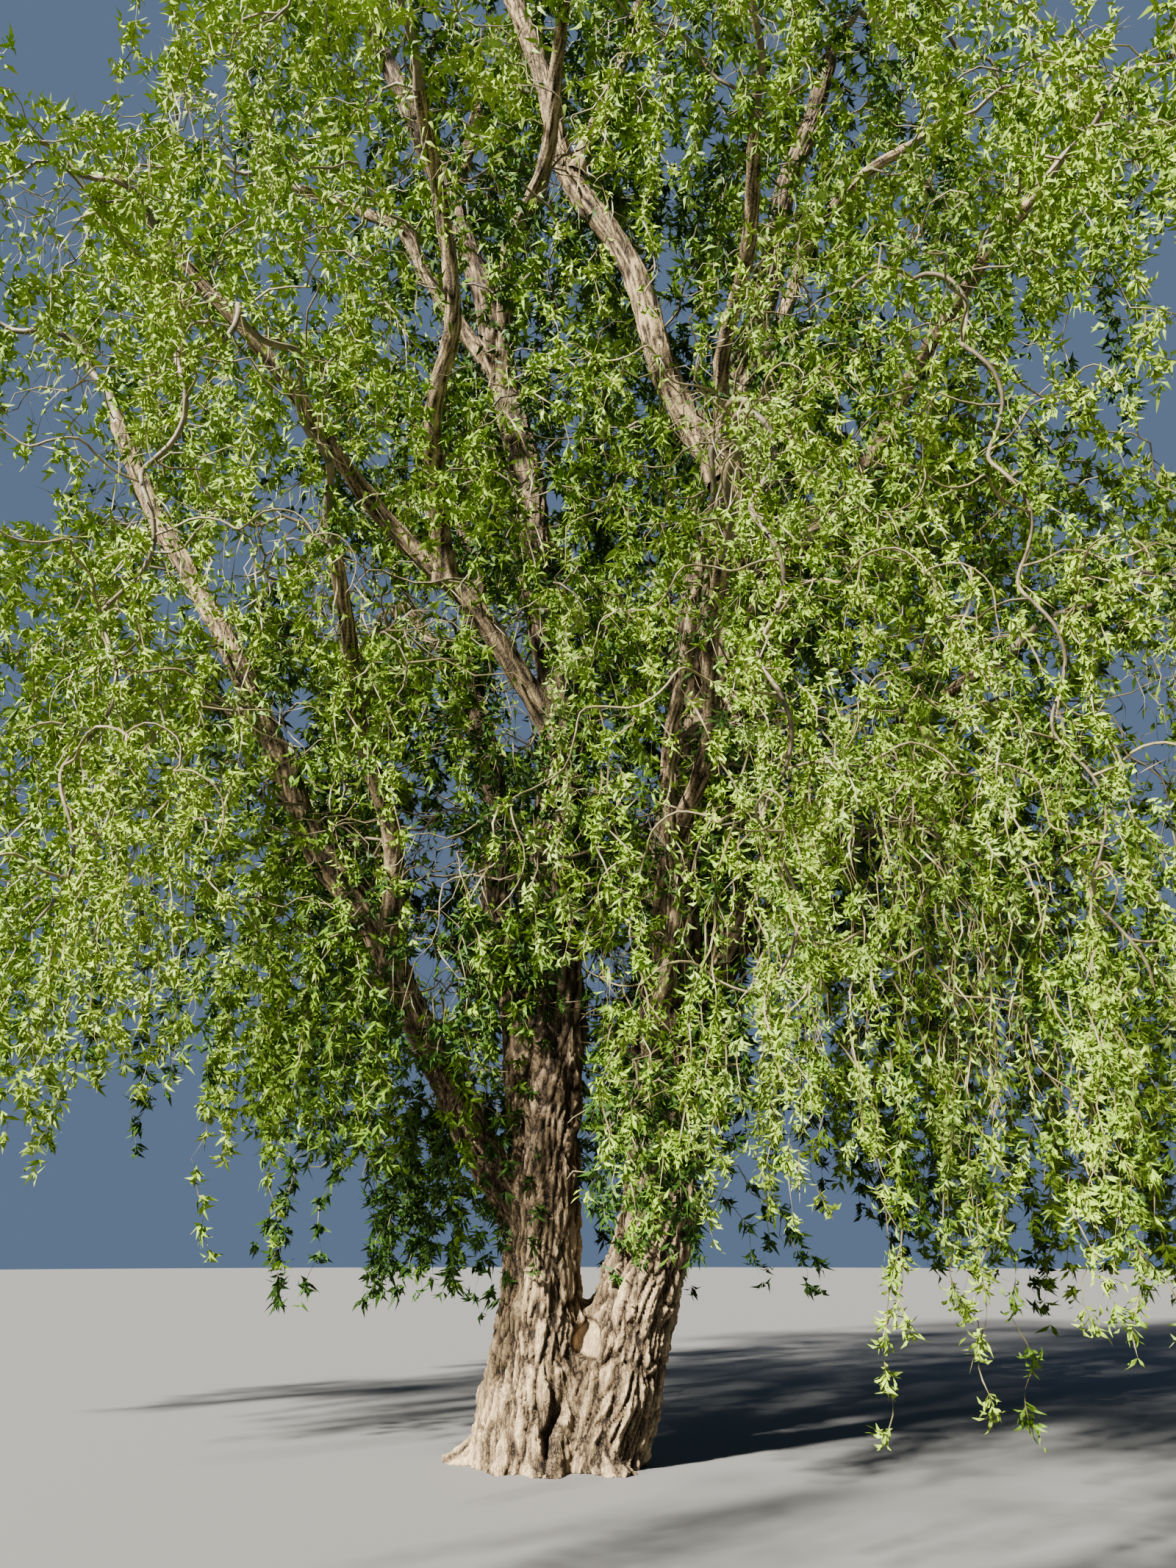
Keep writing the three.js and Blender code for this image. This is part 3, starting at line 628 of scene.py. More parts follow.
def add_branch(root, bearing, climb, length, floor, key, crowd=1):
    line = grow(BRANCH, root, bearing, climb, length, floor, key)
    if line is None:
        return
    step = BRANCH.step
    grown.branches.append(finer(line, step))
    add_strands(finer(line[BARE_FOOT:], step), BRANCH.strands, floor, key, crowd)
    every = round(BRANCH.twigs / step)
    for n, k in enumerate(range(every, len(line) - 1, every)):
        bearing = bearing_of(line[k + 1] - line[k]) + TWIG.turn * n + TWIG.first
        climb = TWIG.climb * chance(key, n, DRAW.side_climb)
        length = mix(*BRANCH.twig_length, chance(key, n, DRAW.side_length))
        add_twig(line[k], bearing, climb, length, floor, key * KEY_STEPS.branch + n)


def dress_mass(spine, size, floor, key, foot_radius, **_):
    """A mass's stem, with strands along it and twigs at the places that the solids have."""
    phase = ROUND * chance(key, DRAW.stem_phase)
    line = curled(resampled(spine, SPINE.spacing), SPINE.curl, SPINE.wave, phase, SPINE.grow)
    line = finer(line, SPINE.spacing)
    share = np.linspace(0, 1, len(line))
    grown.stems.append((line, mix(foot_radius, SPINE.tip_radius, share**SPINE.taper)))
    crowd = SHOOT.crowd if key >= KEYS.shoots else 1
    add_strands(line[BARE_FOOT:], SPINE.strands / crowd, floor, key, crowd)
    last = len(spine) - 1
    for n in range(last * FINE_TWIG.per_stride):
        place = (n + TWIG.share) / FINE_TWIG.per_stride
        k = int(place)
        root = line[int(place / last * (len(line) - 1))]
        bearing = bearing_of(spine[k + 1] - spine[k]) + TWIG.turn * n + TWIG.first
        climb = (2 if k < STEEP_STRIDES else 1) * TWIG.climb * chance(key, n, DRAW.climb)
        length = mix(*FINE_TWIG.length, chance(key, n, DRAW.length)) * size
        add_twig(root, bearing, climb, length, floor, key * KEY_STEPS.mass + n)


def dress_bough(name, index):
    """Branches along a bough's own length."""
    line = resampled(limbs[name][0], BRANCH.spacing)
    for n in range(int(len(line) * BRANCH.first), len(line)):
        if line[n, 2] < BRANCH.lowest:
            continue
        key = KEYS.branches + index * KEY_STEPS.bough + n
        climb = BRANCH.climb * mix(*BRANCH.climbs, chance(key, DRAW.branch_climb))
        length = mix(*BRANCH.length, chance(key, DRAW.length))
        floor = max(line[n, 2] - BRANCH.fall, BRANCH.floor)
        add_branch(line[n], TWIG.turn * n + BRANCH.turn * index, climb, length, floor, key)


def add_spray(n, carrier, height, bearing, climb, length):
    root = at_height(resampled(limbs[carrier][0], BRANCH.step), height)
    floor = max(height - SPRAY.fall, SPRAY.floor)
    add_branch(root, bearing, climb, length, floor, KEYS.sprays + n, SPRAY.crowd)


def add_rope(n, top, count, end):
    """Strands that grow on from the tips nearest to a place, down to a lower end."""
    tips = np.array([line[-1] for line in grown.strands])
    nearest = np.argsort(np.linalg.norm(tips - top, axis=1))[:count]
    for k, tip in enumerate(tips[nearest]):
        length = (tip[2] - end) * mix(*ROPE.shares, chance(n, k, DRAW.rope))
        made = strand(ROPE, tip, length, end, KEYS.ropes + KEY_STEPS.rope * n + k)
        if made is not None:
            grown.strands.append(finer(made, ROPE.step))


for mass in masses:
    dress_mass(**mass)
for index, name in enumerate(boughs):
    dress_bough(name, index)
for n, (carrier, place) in enumerate((carrier, place) for carrier, places in SPRAYS for place in places):
    add_spray(n, carrier, *place)
for n, rope in enumerate(ROPES):
    add_rope(n, *rope)


# Meshes from arrays
def add_object(name, data):
    made = bpy.data.objects.new(name, data)
    bpy.context.scene.collection.objects.link(made)
    return made


def add_relief(mesh, relief):
    """Keeps the bark's relief on the mesh, for its material; on the trunk it also carries painted shade in
    the cleft and on the upper stems.
    """
    mesh.attributes.new("relief", "FLOAT", "POINT").data.foreach_set("value", relief.astype(np.float32))


def mesh_piece(name, corners, faces, material, relief=None):
    mesh = bpy.data.meshes.new(name)
    mesh.vertices.add(len(corners))
    mesh.vertices.foreach_set("co", np.ascontiguousarray(corners, np.float32).ravel())
    count, sides = faces.shape
    mesh.loops.add(count * sides)
    mesh.loops.foreach_set("vertex_index", faces.astype(np.int32).ravel())
    mesh.polygons.add(count)
    mesh.polygons.foreach_set("loop_start", np.arange(count, dtype=np.int32) * sides)
    mesh.polygons.foreach_set("use_smooth", np.full(count, True))
    mesh.update(calc_edges=True)
    mesh.materials.append(material)
    if relief is not None:
        add_relief(mesh, relief)
    return add_object(name, mesh)


def keep(piece, slot, *replaced):
    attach(piece, "root")
    if replaced:
        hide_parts(*replaced)


def joined(parts):
    """Arrays of corners and of faces, joined into one of each, with any layer beside them."""
    corners, faces, layers, base = [], [], [], 0
    for part_corners, part_faces, *layer in parts:
        corners.append(part_corners)
        faces.append(part_faces + base)
        layers += layer
        base += len(part_corners)
    return np.vstack(corners), np.vstack(faces), *([np.concatenate(layers)] if layers else [])


def ring_frames(points):
    """Two directions square to a line at each of its points, with no sudden turn between them."""
    tangents = unit(np.gradient(points, axis=0))
    across = np.empty_like(points)
    across[0] = sideways(tangents[0])
    for k in range(1, len(points)):
        across[k] = unit(across[k - 1] - tangents[k] * np.dot(across[k - 1], tangents[k]))
    return across, np.cross(tangents, across)


def ring_corners(rows, sides):
    """A tube's corners below its last ring, and the next corner round from each, as numbers."""
    first = np.arange(rows - 1)[:, None] * sides
    turn = np.arange(sides)
    return first + turn, first + (turn + 1) % sides


def tube_rings(points, radii, sides):
    across, over = ring_frames(points)
    turns = np.arange(sides) * 2 * np.pi / sides
    circle = across[:, None] * np.cos(turns)[:, None] + over[:, None] * np.sin(turns)[:, None]
    return points[:, None] + circle * radii[:, None, None]


def plain_tube(line, radii, sides):
    """A thin tube of triangles that ends in a point."""
    rings = tube_rings(line, radii, sides)
    rings[-1] = line[-1]
    a, b = ring_corners(len(line), sides)
    low = np.stack([a, b, b + sides], -1)
    high = np.stack([a, b + sides, a + sides], -1)
    return rings.reshape(-1, 3), np.vstack([low.reshape(-1, 3), high[:-1].reshape(-1, 3)])


def ribbon(line, radii, turn):
    """A flat twig that twists as it goes, a turn for each step, and ends in a point."""
    across, over = ring_frames(line)
    angles = turn * np.arange(len(line))[:, None]
    aside = (across * np.cos(angles) + over * np.sin(angles)) * radii[:, None]
    aside[-1] = 0
    a = 2 * np.arange(len(line) - 1)
    return np.stack([line - aside, line + aside], 1).reshape(-1, 3), np.stack([a, a + 1, a + 3, a + 2], -1)


def tapered(kind, lines):
    """Each line with radii that shrink evenly along it."""
    return [(line, np.linspace(*kind.radii, len(line))) for line in lines]


# Bark
def scaled(pattern, x, y, z, aside=0, above=0):
    """A place in a pattern that repeats so often across a limb and along it."""
    across, up = pattern
    return x * across + aside, y * across, z * up + above


def plates(x, y, z):
    """Long plates with deep cracks between them: 0 in a crack, 1 on a ridge."""
    bend = noise.noise_vector(scaled(PATTERN.bend, x, y, z, above=4))
    across, up = WEIGHT.bend
    x, y, z = x + across * bend[0], y + across * bend[1], z + up * bend[2]
    near = noise.voronoi((x, y, z))[0]
    small = noise.voronoi(scaled(PATTERN.flake, x, y, z, aside=9))[0]
    rough = noise.fractal(scaled(PATTERN.rough, x, y, z), *ROUGHNESS)
    ridge = min(max((near[1] - near[0]) * WEIGHT.ridge - WEIGHT.crack, 0.0), 1.0)
    flake = min((small[1] - small[0]) * WEIGHT.flake, 1.0)
    value = ridge * (WEIGHT.plain + WEIGHT.flakes * flake) + WEIGHT.rough * rough + WEIGHT.rise
    return min(max(value, 0.0), 1.0)


def relief_at(course, u, v, run):
    """The bark's height on a limb: in the direction (u, v) round it, at a run along it."""
    turn = WEIGHT.turn * noise.noise(scaled(PATTERN.turn, u, v, run, above=course.key))
    q = course.size / course.plate
    shift = course.key * KEY_SHIFT.plates
    return plates(u * q + turn + shift, v * q - turn, run / (course.plate * PLATE.stretch))


def lump_at(course, u, v, run):
    """A limb's swellings and knobs, in shares of its radius."""
    swell = noise.noise((run * PATTERN.swell, course.key * KEY_SHIFT.swell, 0))
    knob = noise.noise(scaled(PATTERN.knob, u, v, run, aside=course.key))
    return WEIGHT.swell * swell + WEIGHT.knob * knob


def stand_out(radius, value):
    """How far the bark stands out from a limb, or in."""
    return PLATE.depth * min(radius / PLATE.full, 1) * (value - PLATE.level)


def course_of(name, key):
    """A limb's smooth course, with two directions square to it and the size of its bark's plates."""
    step = COURSE.fine if limbs[name][1][0] > COURSE.thick else COURSE.coarse
    points, radii, runs = resampled_limb(*limbs[name], step)
    size = COURSE.stem_size if name in STEMS else radii[0]
    if name not in STEMS:
        bends = [noise.noise_vector((run * COURSE.grain, key * COURSE.slice, 2)) for run in runs]
        fade = np.minimum(runs / COURSE.ends, 1) * np.minimum((runs[-1] - runs) / COURSE.ends, 1)
        points = points + np.array(bends) * (COURSE.bend * fade)[:, None]
        on_trunk = points[0, 2] < FORK_TOP
        wider, stretch = COLLAR if on_trunk else (HIGH_COLLAR.wider, HIGH_COLLAR.radii * radii[0])
        radii = radii * (1 + wider * np.exp(-runs / stretch))
    across, over = ring_frames(points)
    plate = float(np.clip(size * PLATE.share, PLATE.narrowest, PLATE.widest))
    return Named(points=points, radii=radii, runs=runs, across=across, over=over, key=key, size=size,
                 plate=plate)


courses = {name: course_of(name, index + 1) for index, name in enumerate(limbs)}
trunk_boughs = [name for name in boughs if courses[name].points[0, 2] < FORK_TOP]


def relief_tube(course, first, sides):
    """A bark-covered limb: rings whose corners stand in and out with the bark's plates."""
    rows = range(first, len(course.points))
    corners = np.empty((len(rows), sides, 3))
    relief = np.empty((len(rows), sides))
    for k, row in enumerate(rows):
        run, size = course.runs[row], course.radii[row]
        widened = min((run - course.runs[first]) / (SEAM.overlap * SEAM.widen), 1)
        shrink = SEAM.least + SEAM.rest * widened if first else 1
        for j, turn in enumerate(np.arange(sides) * 2 * np.pi / sides):
            u, v = math.cos(turn), math.sin(turn)
            value = relief_at(course, u, v, run)
            radius = size * shrink * (1 + lump_at(course, u, v, run)) + stand_out(size, value)
            out = course.across[row] * u + course.over[row] * v
            corners[k, j] = course.points[row] + out * radius
            relief[k, j] = value
    a, b = ring_corners(len(rows), sides)
    return corners.reshape(-1, 3), np.stack([a, b, b + sides, a + sides], -1).reshape(-1, 4), relief.ravel()


def bough_mesh(name):
    course = courses[name]
    sides = int(np.clip(round(2 * np.pi * course.radii.mean() / SIDE_WIDTH), *SIDES))
    above_seam = course.points[:, 2] > TRUNK_TOP - SEAM.overlap
    return relief_tube(course, int(np.argmax(above_seam)) if name in trunk_boughs else 0, sides)


# Trunk
def add_closed_tube(skin, points, radii):
    """A plain tube with flat ends, for melting into the trunk."""
    rings = [[skin.verts.new(corner) for corner in ring] for ring in tube_rings(points, radii, SKIN_SIDES)]
    for low, high in zip(rings, rings[1:]):
        for j in range(SKIN_SIDES):
            n = (j + 1) % SKIN_SIDES
            skin.faces.new((low[j], low[n], high[n], high[j]))
    skin.faces.new(rings[0][::-1])
    skin.faces.new(rings[-1])


def add_trunk_parts(skin):
    """Stems, root lobes, bough feet and what fills the stems' gap, as tubes that run into each other."""
    for name in STEMS:
        add_closed_tube(skin, courses[name].points, courses[name].radii)
    for lobe in ROOT_LOBES:
        add_closed_tube(skin, *resampled_limb(*lobe_path(*lobe), LOBE.step)[:2])
    for name in trunk_boughs:
        points, radii = courses[name].points, courses[name].radii
        low = points[:, 2] < TRUNK_TOP
        fading = SEAM.overlap * SEAM.fade
        fade = 1 - SEAM.sink * np.clip((points[low, 2] - TRUNK_TOP + fading) / fading, 0, 1)
        add_closed_tube(skin, points[low], radii[low] * fade)
    saddle = np.zeros((SADDLE.rings, 3))
    saddle[:, 0] = SADDLE.x
    saddle[:, 2] = np.linspace(SADDLE.low, SADDLE.top, SADDLE.rings)
    add_closed_tube(skin, saddle, np.full(SADDLE.rings, SADDLE.radius))


def trunk_skin():
    """The trunk's parts, melted into one skin."""
    skin = bmesh.new()
    add_trunk_parts(skin)
    mesh = bpy.data.meshes.new("trunk_draft")
    skin.to_mesh(mesh)
    skin.free()
    draft = add_object("trunk_draft", mesh)
    remesh = draft.modifiers.new("skin", "REMESH")
    remesh.mode = "VOXEL"
    remesh.voxel_size = VOXEL
    melt = draft.modifiers.new("melt", "SMOOTH")
    melt.factor = MELT.factor
    melt.iterations = MELT.times
    shaped = bpy.data.meshes.new_from_object(draft.evaluated_get(bpy.context.evaluated_depsgraph_get()))
    bpy.data.objects.remove(draft)
    return shaped


def nearest_on(course, places):
    """Each place's direction round the limb, run along it and distance in radii, and the radius there."""
    nearest = np.array([np.argmin(((course.points - place) ** 2).sum(axis=1)) for place in places])
    out = places - course.points[nearest]
    u = (out * course.across[nearest]).sum(axis=1)
    v = (out * course.over[nearest]).sum(axis=1)
    tangents = np.cross(course.across, course.over)[nearest]
    run = course.runs[nearest] + (out * tangents).sum(axis=1)
    beyond = np.maximum(np.maximum(-run, run - course.runs[-1]), 0)
    flat = np.maximum(np.hypot(u, v), 1e-6)
    radii = course.radii[nearest]
    away = np.maximum(flat, BLEND.inner * radii) / radii + beyond * BLEND.beyond
    return u / flat, v / flat, run, away, radii


def blended_bark(places):
    """The bark's relief at each place of the trunk, and how far it stands out, from the limbs near it."""
    names = [*STEMS, *trunk_boughs]
    found = [nearest_on(courses[name], places) for name in names]
    weights = np.stack([near[3] for near in found]) ** -BLEND.power
    weights /= weights.sum(axis=0)
    weights[weights < BLEND.least] = 0
    weights /= weights.sum(axis=0)
    relief, shift = np.zeros(len(places)), np.zeros(len(places))
    for name, (u, v, run, _, radii), weight in zip(names, found, weights):
        course = courses[name]
        for i in np.nonzero(weight)[0]:
            value = relief_at(course, u[i], v[i], run[i])
            lump = min(radii[i], BLEND.thickest) * lump_at(course, u[i], v[i], run[i])
            relief[i] += weight[i] * value
            shift[i] += weight[i] * (lump + stand_out(radii[i], value))
    return relief, shift


def groove_at(places, front):
    """The cleft at the foot, where the two stems meet: 1 in its middle."""
    wiggle = np.array([CLEFT.wiggle * noise.noise((0, 3, z * CLEFT.grain)) for z in places[:, 2]])
    middle = np.interp(places[:, 2], *CLEFT.course.T) + wiggle
    fade = np.clip((CLEFT.top - places[:, 2]) / CLEFT.fade, 0, 1)
    return hump(places[:, 0], middle, CLEFT.width) * fade * front


def scarred(places, front, relief, shift):
    """The relief and shift with an old pruning scar: a smooth face, a dark edge and a swollen lip."""
    across = (places[:, 0] - SCAR.centre[0]) / SCAR.half[0]
    up = (places[:, 2] - SCAR.centre[1]) / SCAR.half[1]
    reach = np.where(front, np.hypot(across, up), 9)
    reach += SCAR.uneven * np.sin(3 * np.arctan2(up, across) + 1)
    face = np.clip((1 - reach) / SCAR.slope, 0, 1)
    fine, coarse = SCAR.grain
    grain = np.array([noise.noise((x * fine, z * coarse, 0)) for x, z in places[:, ::2]])
    relief = mix(relief, SCAR.wood + SCAR.streaks * grain, face)
    relief *= 1 - SCAR.edge * hump(reach, *SCAR.edge_ring)
    shift = mix(shift, SCAR.kept * shift - SCAR.depth, face)
    return relief, shift + SCAR.lip * hump(reach, *SCAR.lip_ring)


def cut_at_ground(mesh):
    cut = bmesh.new()
    cut.from_mesh(mesh)
    bmesh.ops.bisect_plane(cut, geom=cut.verts[:] + cut.edges[:] + cut.faces[:], plane_co=(0, 0, 0),
                           plane_no=(0, 0, 1), clear_inner=True)
    bmesh.ops.holes_fill(cut, edges=[edge for edge in cut.edges if edge.is_boundary], sides=0)
    for face in cut.faces:
        face.smooth = True
    cut.to_mesh(mesh)
    cut.free()


def values_of(mesh, what):
    values = np.empty(len(mesh.vertices) * 3)
    mesh.vertices.foreach_get(what, values)
    return values.reshape(-1, 3)


def trunk_piece(material):
    mesh = trunk_skin()
    places, normals = values_of(mesh, "co"), values_of(mesh, "normal")
    relief, shift = blended_bark(places)
    shift += np.array([LUMP.size * noise.noise(place * LUMP.grain) for place in places])
    front = normals[:, 1] < FRONT
    groove = groove_at(places, front)
    shift -= CLEFT.depth * groove
    # painted shade: the cleft's bark colour darkened
    relief *= 1 - CLEFT.dark * groove
    # painted shade: darker bark colour higher up the stems
    relief *= mix(1, UPPER_STEM_SHADE.share, ramped(places[:, 2], UPPER_STEM_SHADE.low, UPPER_STEM_SHADE.high))
    relief, shift = scarred(places, front, relief, shift)
    mesh.vertices.foreach_set("co", (places + normals * shift[:, None]).ravel())
    add_relief(mesh, relief)
    cut_at_ground(mesh)
    mesh.materials.clear()
    mesh.materials.append(material)
    return add_object("trunk_bark", mesh)


# Materials
def new_material(name):
    material = bpy.data.materials.new(name)
    material.use_nodes = True
    return material, material.node_tree, material.node_tree.nodes["Principled BSDF"]


def set_inputs(tree, node, inputs):
    """Sets each input to a value, or links it to another node's output."""
    for name, value in inputs.items():
        if isinstance(value, bpy.types.NodeSocket):
            tree.links.new(value, node.inputs[name])
        else:
            node.inputs[name].default_value = value


def add_node(tree, kind, inputs, **settings):
    made = tree.nodes.new(f"ShaderNode{kind}")
    for name, value in settings.items():
        setattr(made, name, value)
    set_inputs(tree, made, inputs)
    return made


def add_noise(tree, coordinates, scale):
    return add_node(tree, "TexNoise", {"Vector": coordinates, "Scale": scale, "Detail": 6, "Roughness": 0.6})


def add_scaled(tree, value, factor, added):
    inputs = {0: value, 1: factor, 2: added}
    return add_node(tree, "Math", inputs, operation="MULTIPLY_ADD").outputs[0]


def add_ramp(tree, value, stops):
    made = add_node(tree, "ValToRGB", {"Fac": value})
    elements = made.color_ramp.elements
    while len(elements) < len(stops):
        elements.new(0.5)
    for element, (place, colour) in zip(elements, stops):
        element.position = place
        element.color = (*colour, 1)
    return made.outputs["Color"]


def bark_material(name, colours):
    """Plates coloured by the mesh's relief, with flakes and fibres on them, in lighter and darker patches."""
    material, tree, shader = new_material(name)
    coordinates = add_node(tree, "TexCoord", {}).outputs["Object"]
    relief = add_node(tree, "Attribute", {}, attribute_name="relief").outputs["Fac"]
    stretched = add_node(tree, "Mapping", {"Vector": coordinates, "Scale": (1, 1, BARK.stretch)}).outputs[0]
    fibres = add_noise(tree, stretched, BARK.fibres).outputs["Fac"]
    patches = add_noise(tree, coordinates, BARK.patches).outputs["Fac"]
    swirls = add_noise(tree, coordinates, BARK.swirls).outputs["Color"]
    bent = add_node(tree, "VectorMath", {0: swirls, 1: (BARK.swirl,) * 3, 2: stretched},
                    operation="MULTIPLY_ADD").outputs["Vector"]
    flakes = add_node(tree, "TexVoronoi", {"Vector": bent, "Scale": BARK.flakes}, feature="DISTANCE_TO_EDGE")
    split = add_node(tree, "MapRange", {"Value": flakes.outputs["Distance"], "From Max": BARK.split})
    grain = add_scaled(tree, split.outputs["Result"], BARK.flake, fibres)
    height = add_scaled(tree, grain, BARK.grain, relief)
    lowered = add_node(tree, "Math", {0: height, 1: BARK.lowered}, operation="SUBTRACT").outputs[0]
    colour = add_ramp(tree, lowered, list(zip(BARK_STOPS, colours)))
    shade = add_ramp(tree, patches, PATCHES)
    tint = add_node(tree, "Mix", {"Factor": BARK.tint, "A": colour, "B": shade}, data_type="RGBA",
                    blend_type="MULTIPLY")
    bump = add_node(tree, "Bump", {"Strength": BARK.bump, "Distance": BARK.bump_depth, "Height": grain})
    set_inputs(tree, shader, {"Base Color": tint.outputs["Result"], "Roughness": BARK.roughness,
                              "Specular IOR Level": BARK.gloss, "Normal": bump.outputs["Normal"]})
    return material


def twig_material(name, stops):
    material, tree, shader = new_material(name)
    coordinates = add_node(tree, "TexCoord", {}).outputs["Object"]
    patches = add_noise(tree, coordinates, TWIG_BARK.patches).outputs["Fac"]
    set_inputs(tree, shader, {"Base Color": add_ramp(tree, patches, stops), "Roughness": TWIG_BARK.roughness})
    return material


def plain_material(name, colour, roughness, gloss=0.5):
    material, tree, shader = new_material(name)
    set_inputs(tree, shader, {"Base Color": (*colour, 1), "Roughness": roughness,
                              "Specular IOR Level": gloss})
    return material


barks = {name: bark_material(name, colours) for name, colours in BARKS.items()}
barks |= {name: twig_material(name, stops) for name, stops in TWIG_BARKS.items()}


# Bark and twig pieces
def add_bark(name, parts, material, *replaced):
    corners, faces, relief = joined(parts)
    keep(mesh_piece(name, corners, faces, barks[material], relief), "bark", *replaced)


def add_twigs(name, material, shape, twigs, measure, *replaced):
    """Twigs in one piece: tubes with so many sides, or ribbons with so much turn."""
    parts = [shape(line, radii, measure) for line, radii in twigs]
    keep(mesh_piece(name, *joined(parts), barks[material]), "bark", *replaced)


keep(trunk_piece(barks["trunk_bark"]), "bark", "trunk")
# Painted light and shade: main stems get the darker bark copy, the listed boughs and the rings the lighter
# one
for name, *_ in MAIN_BOUGHS:
    add_bark(f"{name}_bark", [bough_mesh(name)], "limb_bark" if name in SUNLIT_BOUGHS else "bough_bark", name)
for ring in RINGS:
    names = [name for name in boughs if name.startswith(f"{ring.name}_bough")]
    add_bark(f"{ring.name}_boughs_bark", [bough_mesh(name) for name in names], "limb_bark", *names)
add_twigs("stem_twigs", "young_bark", plain_tube, grown.stems, SPINE.sides, *mass_names)
add_twigs("branch_twigs", "young_bark", plain_tube, tapered(BRANCH, grown.branches), BRANCH.sides)
add_twigs("side_twigs", "shoot_bark", plain_tube, tapered(FINE_TWIG, grown.twigs), FINE_TWIG.sides)
add_twigs("strand_twigs", "shoot_bark", ribbon, tapered(SHOOT_TWIG, grown.strands), SHOOT_TWIG.turn)


# Leaves
def turned(vectors, axes, angles):
    """Vectors turned about axes, each by its own angle."""
    cosine, sine = np.cos(angles)[:, None], np.sin(angles)[:, None]
    along = np.sum(vectors * axes, axis=1, keepdims=True)
    return vectors * cosine + np.cross(axes, vectors) * sine + axes * along * (1 - cosine)


def leaves_on(line):
    """The foot of each leaf on a strand, and the strand's direction there."""
    runs = runs_of(line)
    bare = LEAF.bare if rng.random() < LEAF.bare_share else 0
    gap = np.interp(np.linalg.norm(line[0] - EYE), LEAF_GAPS.distances, LEAF_GAPS.gaps)
    places = np.arange(LEAF.first, max(runs[-1] - bare, LEAF.shortest), gap)
    middles = (np.floor(places / TUFTS.length) + 0.5) * TUFTS.length
    jitter = rng.uniform(-TUFTS.jitter, TUFTS.jitter, len(places))
    places = np.clip(mix(middles, places, TUFTS.squeeze) + jitter, 0, runs[-1])
    k = np.clip(np.searchsorted(runs, places, "right") - 1, 0, len(line) - 2)
    share = (places - runs[k]) / (runs[k + 1] - runs[k])
    return mix(line[k], line[k + 1], share[:, None]), unit(line[k + 1] - line[k])


def leaf_corners(roots, tangents):
    """Five corners for each leaf: its foot, two at its widest, one near its end, and its tip."""
    count = len(roots)
    helper = aim(rng.uniform(0, 360, count), np.zeros(count))
    spread = unit(np.cross(tangents, helper))
    opening = np.radians(rng.uniform(*LEAF.opening, count))[:, None]
    direction = unit(tangents * np.cos(opening) + spread * np.sin(opening) - UP * LEAF.sag)
    side = unit(np.cross(direction, unit(rng.normal(size=(count, 3)))))
    away = np.linalg.norm(roots - EYE, axis=1)
    longer = np.interp(away, LEAF_SCALES.distances, LEAF_SCALES.lengths)
    wider = np.interp(away, LEAF_SCALES.distances, LEAF_SCALES.widths)
    length = LEAF.length * longer * rng.uniform(*LEAF.lengths, count)
    half = (LEAF.width * wider * rng.uniform(*LEAF.widths, count) / 2)[:, None]
    bend = np.radians(rng.normal(*LEAF.bend, count))
    twist = np.radians(rng.normal(*LEAF.twist, count))
    middle_direction = turned(direction, side, bend / 2)
    end_direction = turned(direction, side, bend)
    widest = roots + direction * (length * STATIONS[0])[:, None]
    late = widest + middle_direction * (length * (STATIONS[1] - STATIONS[0]))[:, None]
    tip = late + end_direction * (length * (1 - STATIONS[1]))[:, None]
    late_side = turned(side, middle_direction, twist) * half * LEAF.late
    return np.stack([roots, widest - side * half, widest + side * half, late + late_side, tip], 1)


def in_spots(right, rise, spots):
    """Whether each place of the picture lies in one of the round spots."""
    spots = np.array(spots)
    return (np.hypot(right[:, None] - spots[:, 0], rise[:, None] - spots[:, 1]) < spots[:, 2]).any(axis=1)


def upper_part(name, above, step):
    line = resampled(limbs[name][0], step)
    return line[line[:, 2] > above]


def bares(right, rise, depth, name, above, width):
    """Whether each leaf lies just in front of a limb, as seen from the eye."""
    limb_right, limb_rise, limb_depth = seen(upper_part(name, above, BARE.step))
    apart = np.hypot(right[:, None] - limb_right, rise[:, None] - limb_rise)
    return (depth < limb_depth[apart.argmin(axis=1)] - BARE.ahead) & (apart.min(axis=1) < width)


def shades(roots):
    """Whether each leaf would keep the light from a sunlit limb."""
    lit = np.vstack([upper_part(name, above, LIT.step) for name, above in LIT_LIMBS])
    offset = roots[:, None] - lit
    toward = offset @ -light_way
    aside = np.linalg.norm(offset + toward[..., None] * light_way, axis=2)
    return ((toward > LIT.radius) & (aside < LIT.radius)).any(axis=1)


def kept_leaves(roots, corners):
    """Leaves in the crown's reach, less most of those in openings and recesses or before limbs."""
    count = len(roots)
    kept = ((corners > reach_low - LEAF.slack) & (corners < reach_high + LEAF.slack)).all(axis=(1, 2))
    right, rise, depth = seen(roots)
    opened = in_spots(right, rise, OPENINGS) & (depth > OPENING.depth)
    kept &= ~(opened & (rng.random(count) > OPENING.kept))
    hollow = in_spots(right, rise, RECESSES) & (depth < RECESS.depth)
    kept &= ~(hollow & (rng.random(count) < RECESS.dropped))
    for name, above, width, dropped in BARED:
        kept &= ~(bares(right, rise, depth, name, above, width) & (rng.random(count) < dropped))
    return kept & ~(shades(roots) & (rng.random(count) < LIT.dropped))


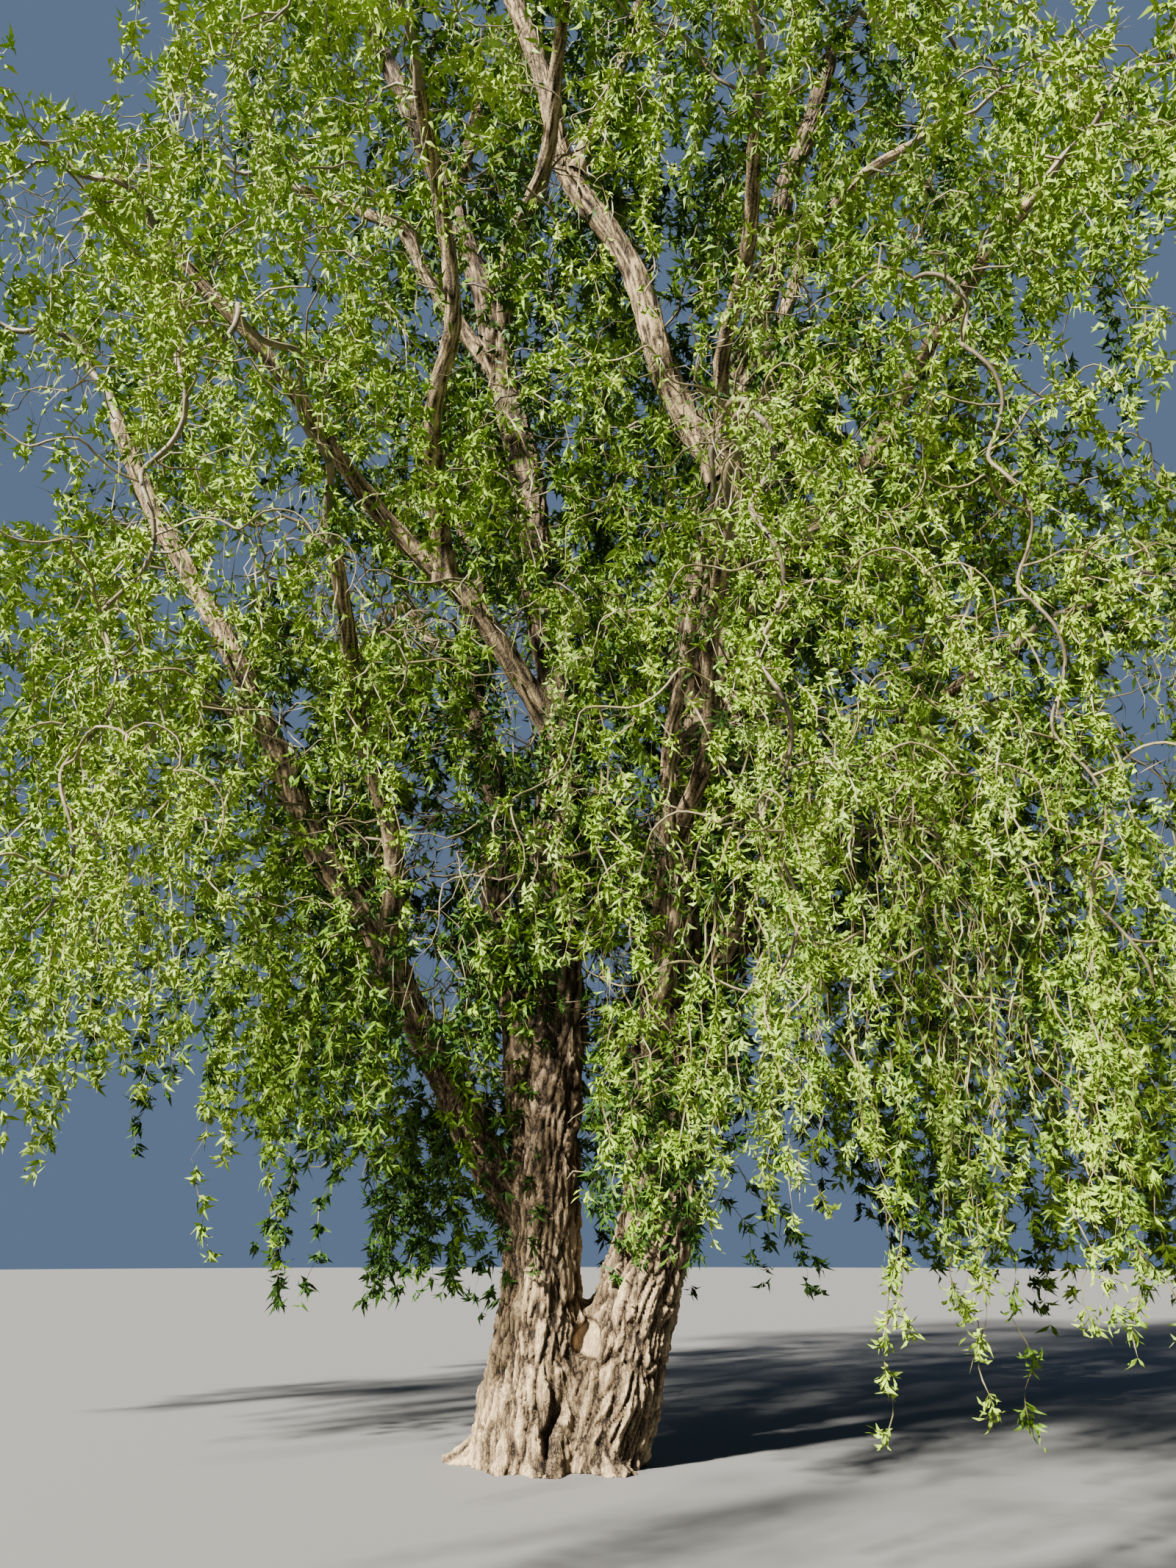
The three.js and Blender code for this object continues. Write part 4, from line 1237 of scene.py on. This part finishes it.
def deal_shaded_greens(strands):
    """A green for each strand's leaves, with painted shade: darker ones inside, in thin garlands and away
    from the light.
    """
    feet = np.array([line[0] for line in strands])
    inner = 1 - ramped(np.hypot(*(feet[:, :2] - CROWN_MIDDLE).T), SHADE_PAINTING.near, SHADE_PAINTING.far)
    gathered = np.array([garland(line) for line in strands])
    thin = np.clip(0.5 - SHADE_PAINTING.contrast * gathered, 0, 1)
    toward = (feet - [*CROWN_MIDDLE, feet[:, 2].mean()]) @ light_way
    unlit = np.clip(0.5 + 0.5 * toward / SHADE_PAINTING.reach, 0, 1)
    # painted shade: sprays inside, in thin garlands and away from the light get darker greens
    shadier = mix(mix(inner, thin, SHADE_PAINTING.thin), unlit, SHADE_PAINTING.sun)
    order = np.argsort(mix(rng.random(len(feet)), shadier, SHADE_PAINTING.pull))
    greens = np.empty(len(feet), int)
    greens[order] = np.searchsorted(np.cumsum(GREEN_SHARES), (np.arange(len(feet)) + 0.5) / len(feet))
    return greens


def leaf_arrays(leaves, faces):
    first = np.arange(len(leaves))[:, None, None] * leaves.shape[1]
    return leaves.reshape(-1, 3), (first + faces).reshape(-1, 3)


light_way = unit(np.array(LIGHT_WAY))
placed = [leaves_on(line) for line in grown.strands]
strand_of = np.repeat(np.arange(len(placed)), [len(roots) for roots, _ in placed])
roots = np.vstack([roots for roots, _ in placed])
corners = leaf_corners(roots, np.vstack([tangents for _, tangents in placed]))
kept = kept_leaves(roots, corners)
corners, strand_of = corners[kept], strand_of[kept]
green_of = deal_shaded_greens(grown.strands)[strand_of]
far = np.linalg.norm(corners[:, 0] - EYE, axis=1) > FAR
for shade, (name, colour) in enumerate(GREENS.items()):
    near_leaves = corners[(green_of == shade) & ~far]
    far_leaves = corners[(green_of == shade) & far][:, FAR_CORNERS]
    material = plain_material(f"{name}_leaf", colour, **LEAF_FINISH)
    pieces = math.ceil((len(near_leaves) * len(NEAR_LEAF) + len(far_leaves) * len(FAR_LEAF)) / MOST_FACES)
    for n, halves in enumerate(zip(np.array_split(near_leaves, pieces), np.array_split(far_leaves, pieces))):
        parts = [leaf_arrays(leaves, faces) for leaves, faces in zip(halves, (NEAR_LEAF, FAR_LEAF))]
        keep(mesh_piece(f"{name}_leaves_{n + 1}", *joined(parts), material), "foliage", *mass_names)


# Stage, light and camera
def add_floor():
    mesh = bpy.data.meshes.new("floor")
    disc = bmesh.new()
    bmesh.ops.create_circle(disc, cap_ends=True, segments=FLOOR.sides, radius=FLOOR.radius)
    disc.to_mesh(mesh)
    disc.free()
    mesh.materials.append(plain_material("floor", FLOOR.colour, FLOOR.roughness))
    add_object("floor", mesh)


def add_light():
    world = bpy.data.worlds.new("studio")
    bpy.context.scene.world = world
    world.use_nodes = True
    background = world.node_tree.nodes["Background"]
    background.inputs["Color"].default_value = (*SURROUND.colour, 1)
    background.inputs["Strength"].default_value = SURROUND.strength
    sun = bpy.data.lights.new("key", "SUN")
    sun.energy = KEY_LIGHT.energy
    sun.angle = math.radians(KEY_LIGHT.spread)
    sun.color = KEY_LIGHT.colour
    add_object("key", sun).rotation_euler = Vector(LIGHT_WAY).to_track_quat("-Z", "Y").to_euler()


def add_camera():
    data = bpy.data.cameras.new("camera")
    data.lens = CAMERA.lens
    data.sensor_width = CAMERA.sensor
    data.clip_end = CAMERA.clip
    holder = add_object("camera", data)
    holder.location = tuple(EYE)
    holder.rotation_euler = (math.radians(90 + TILT), 0, 0)
    bpy.context.scene.camera = holder


add_floor()
add_light()
add_camera()
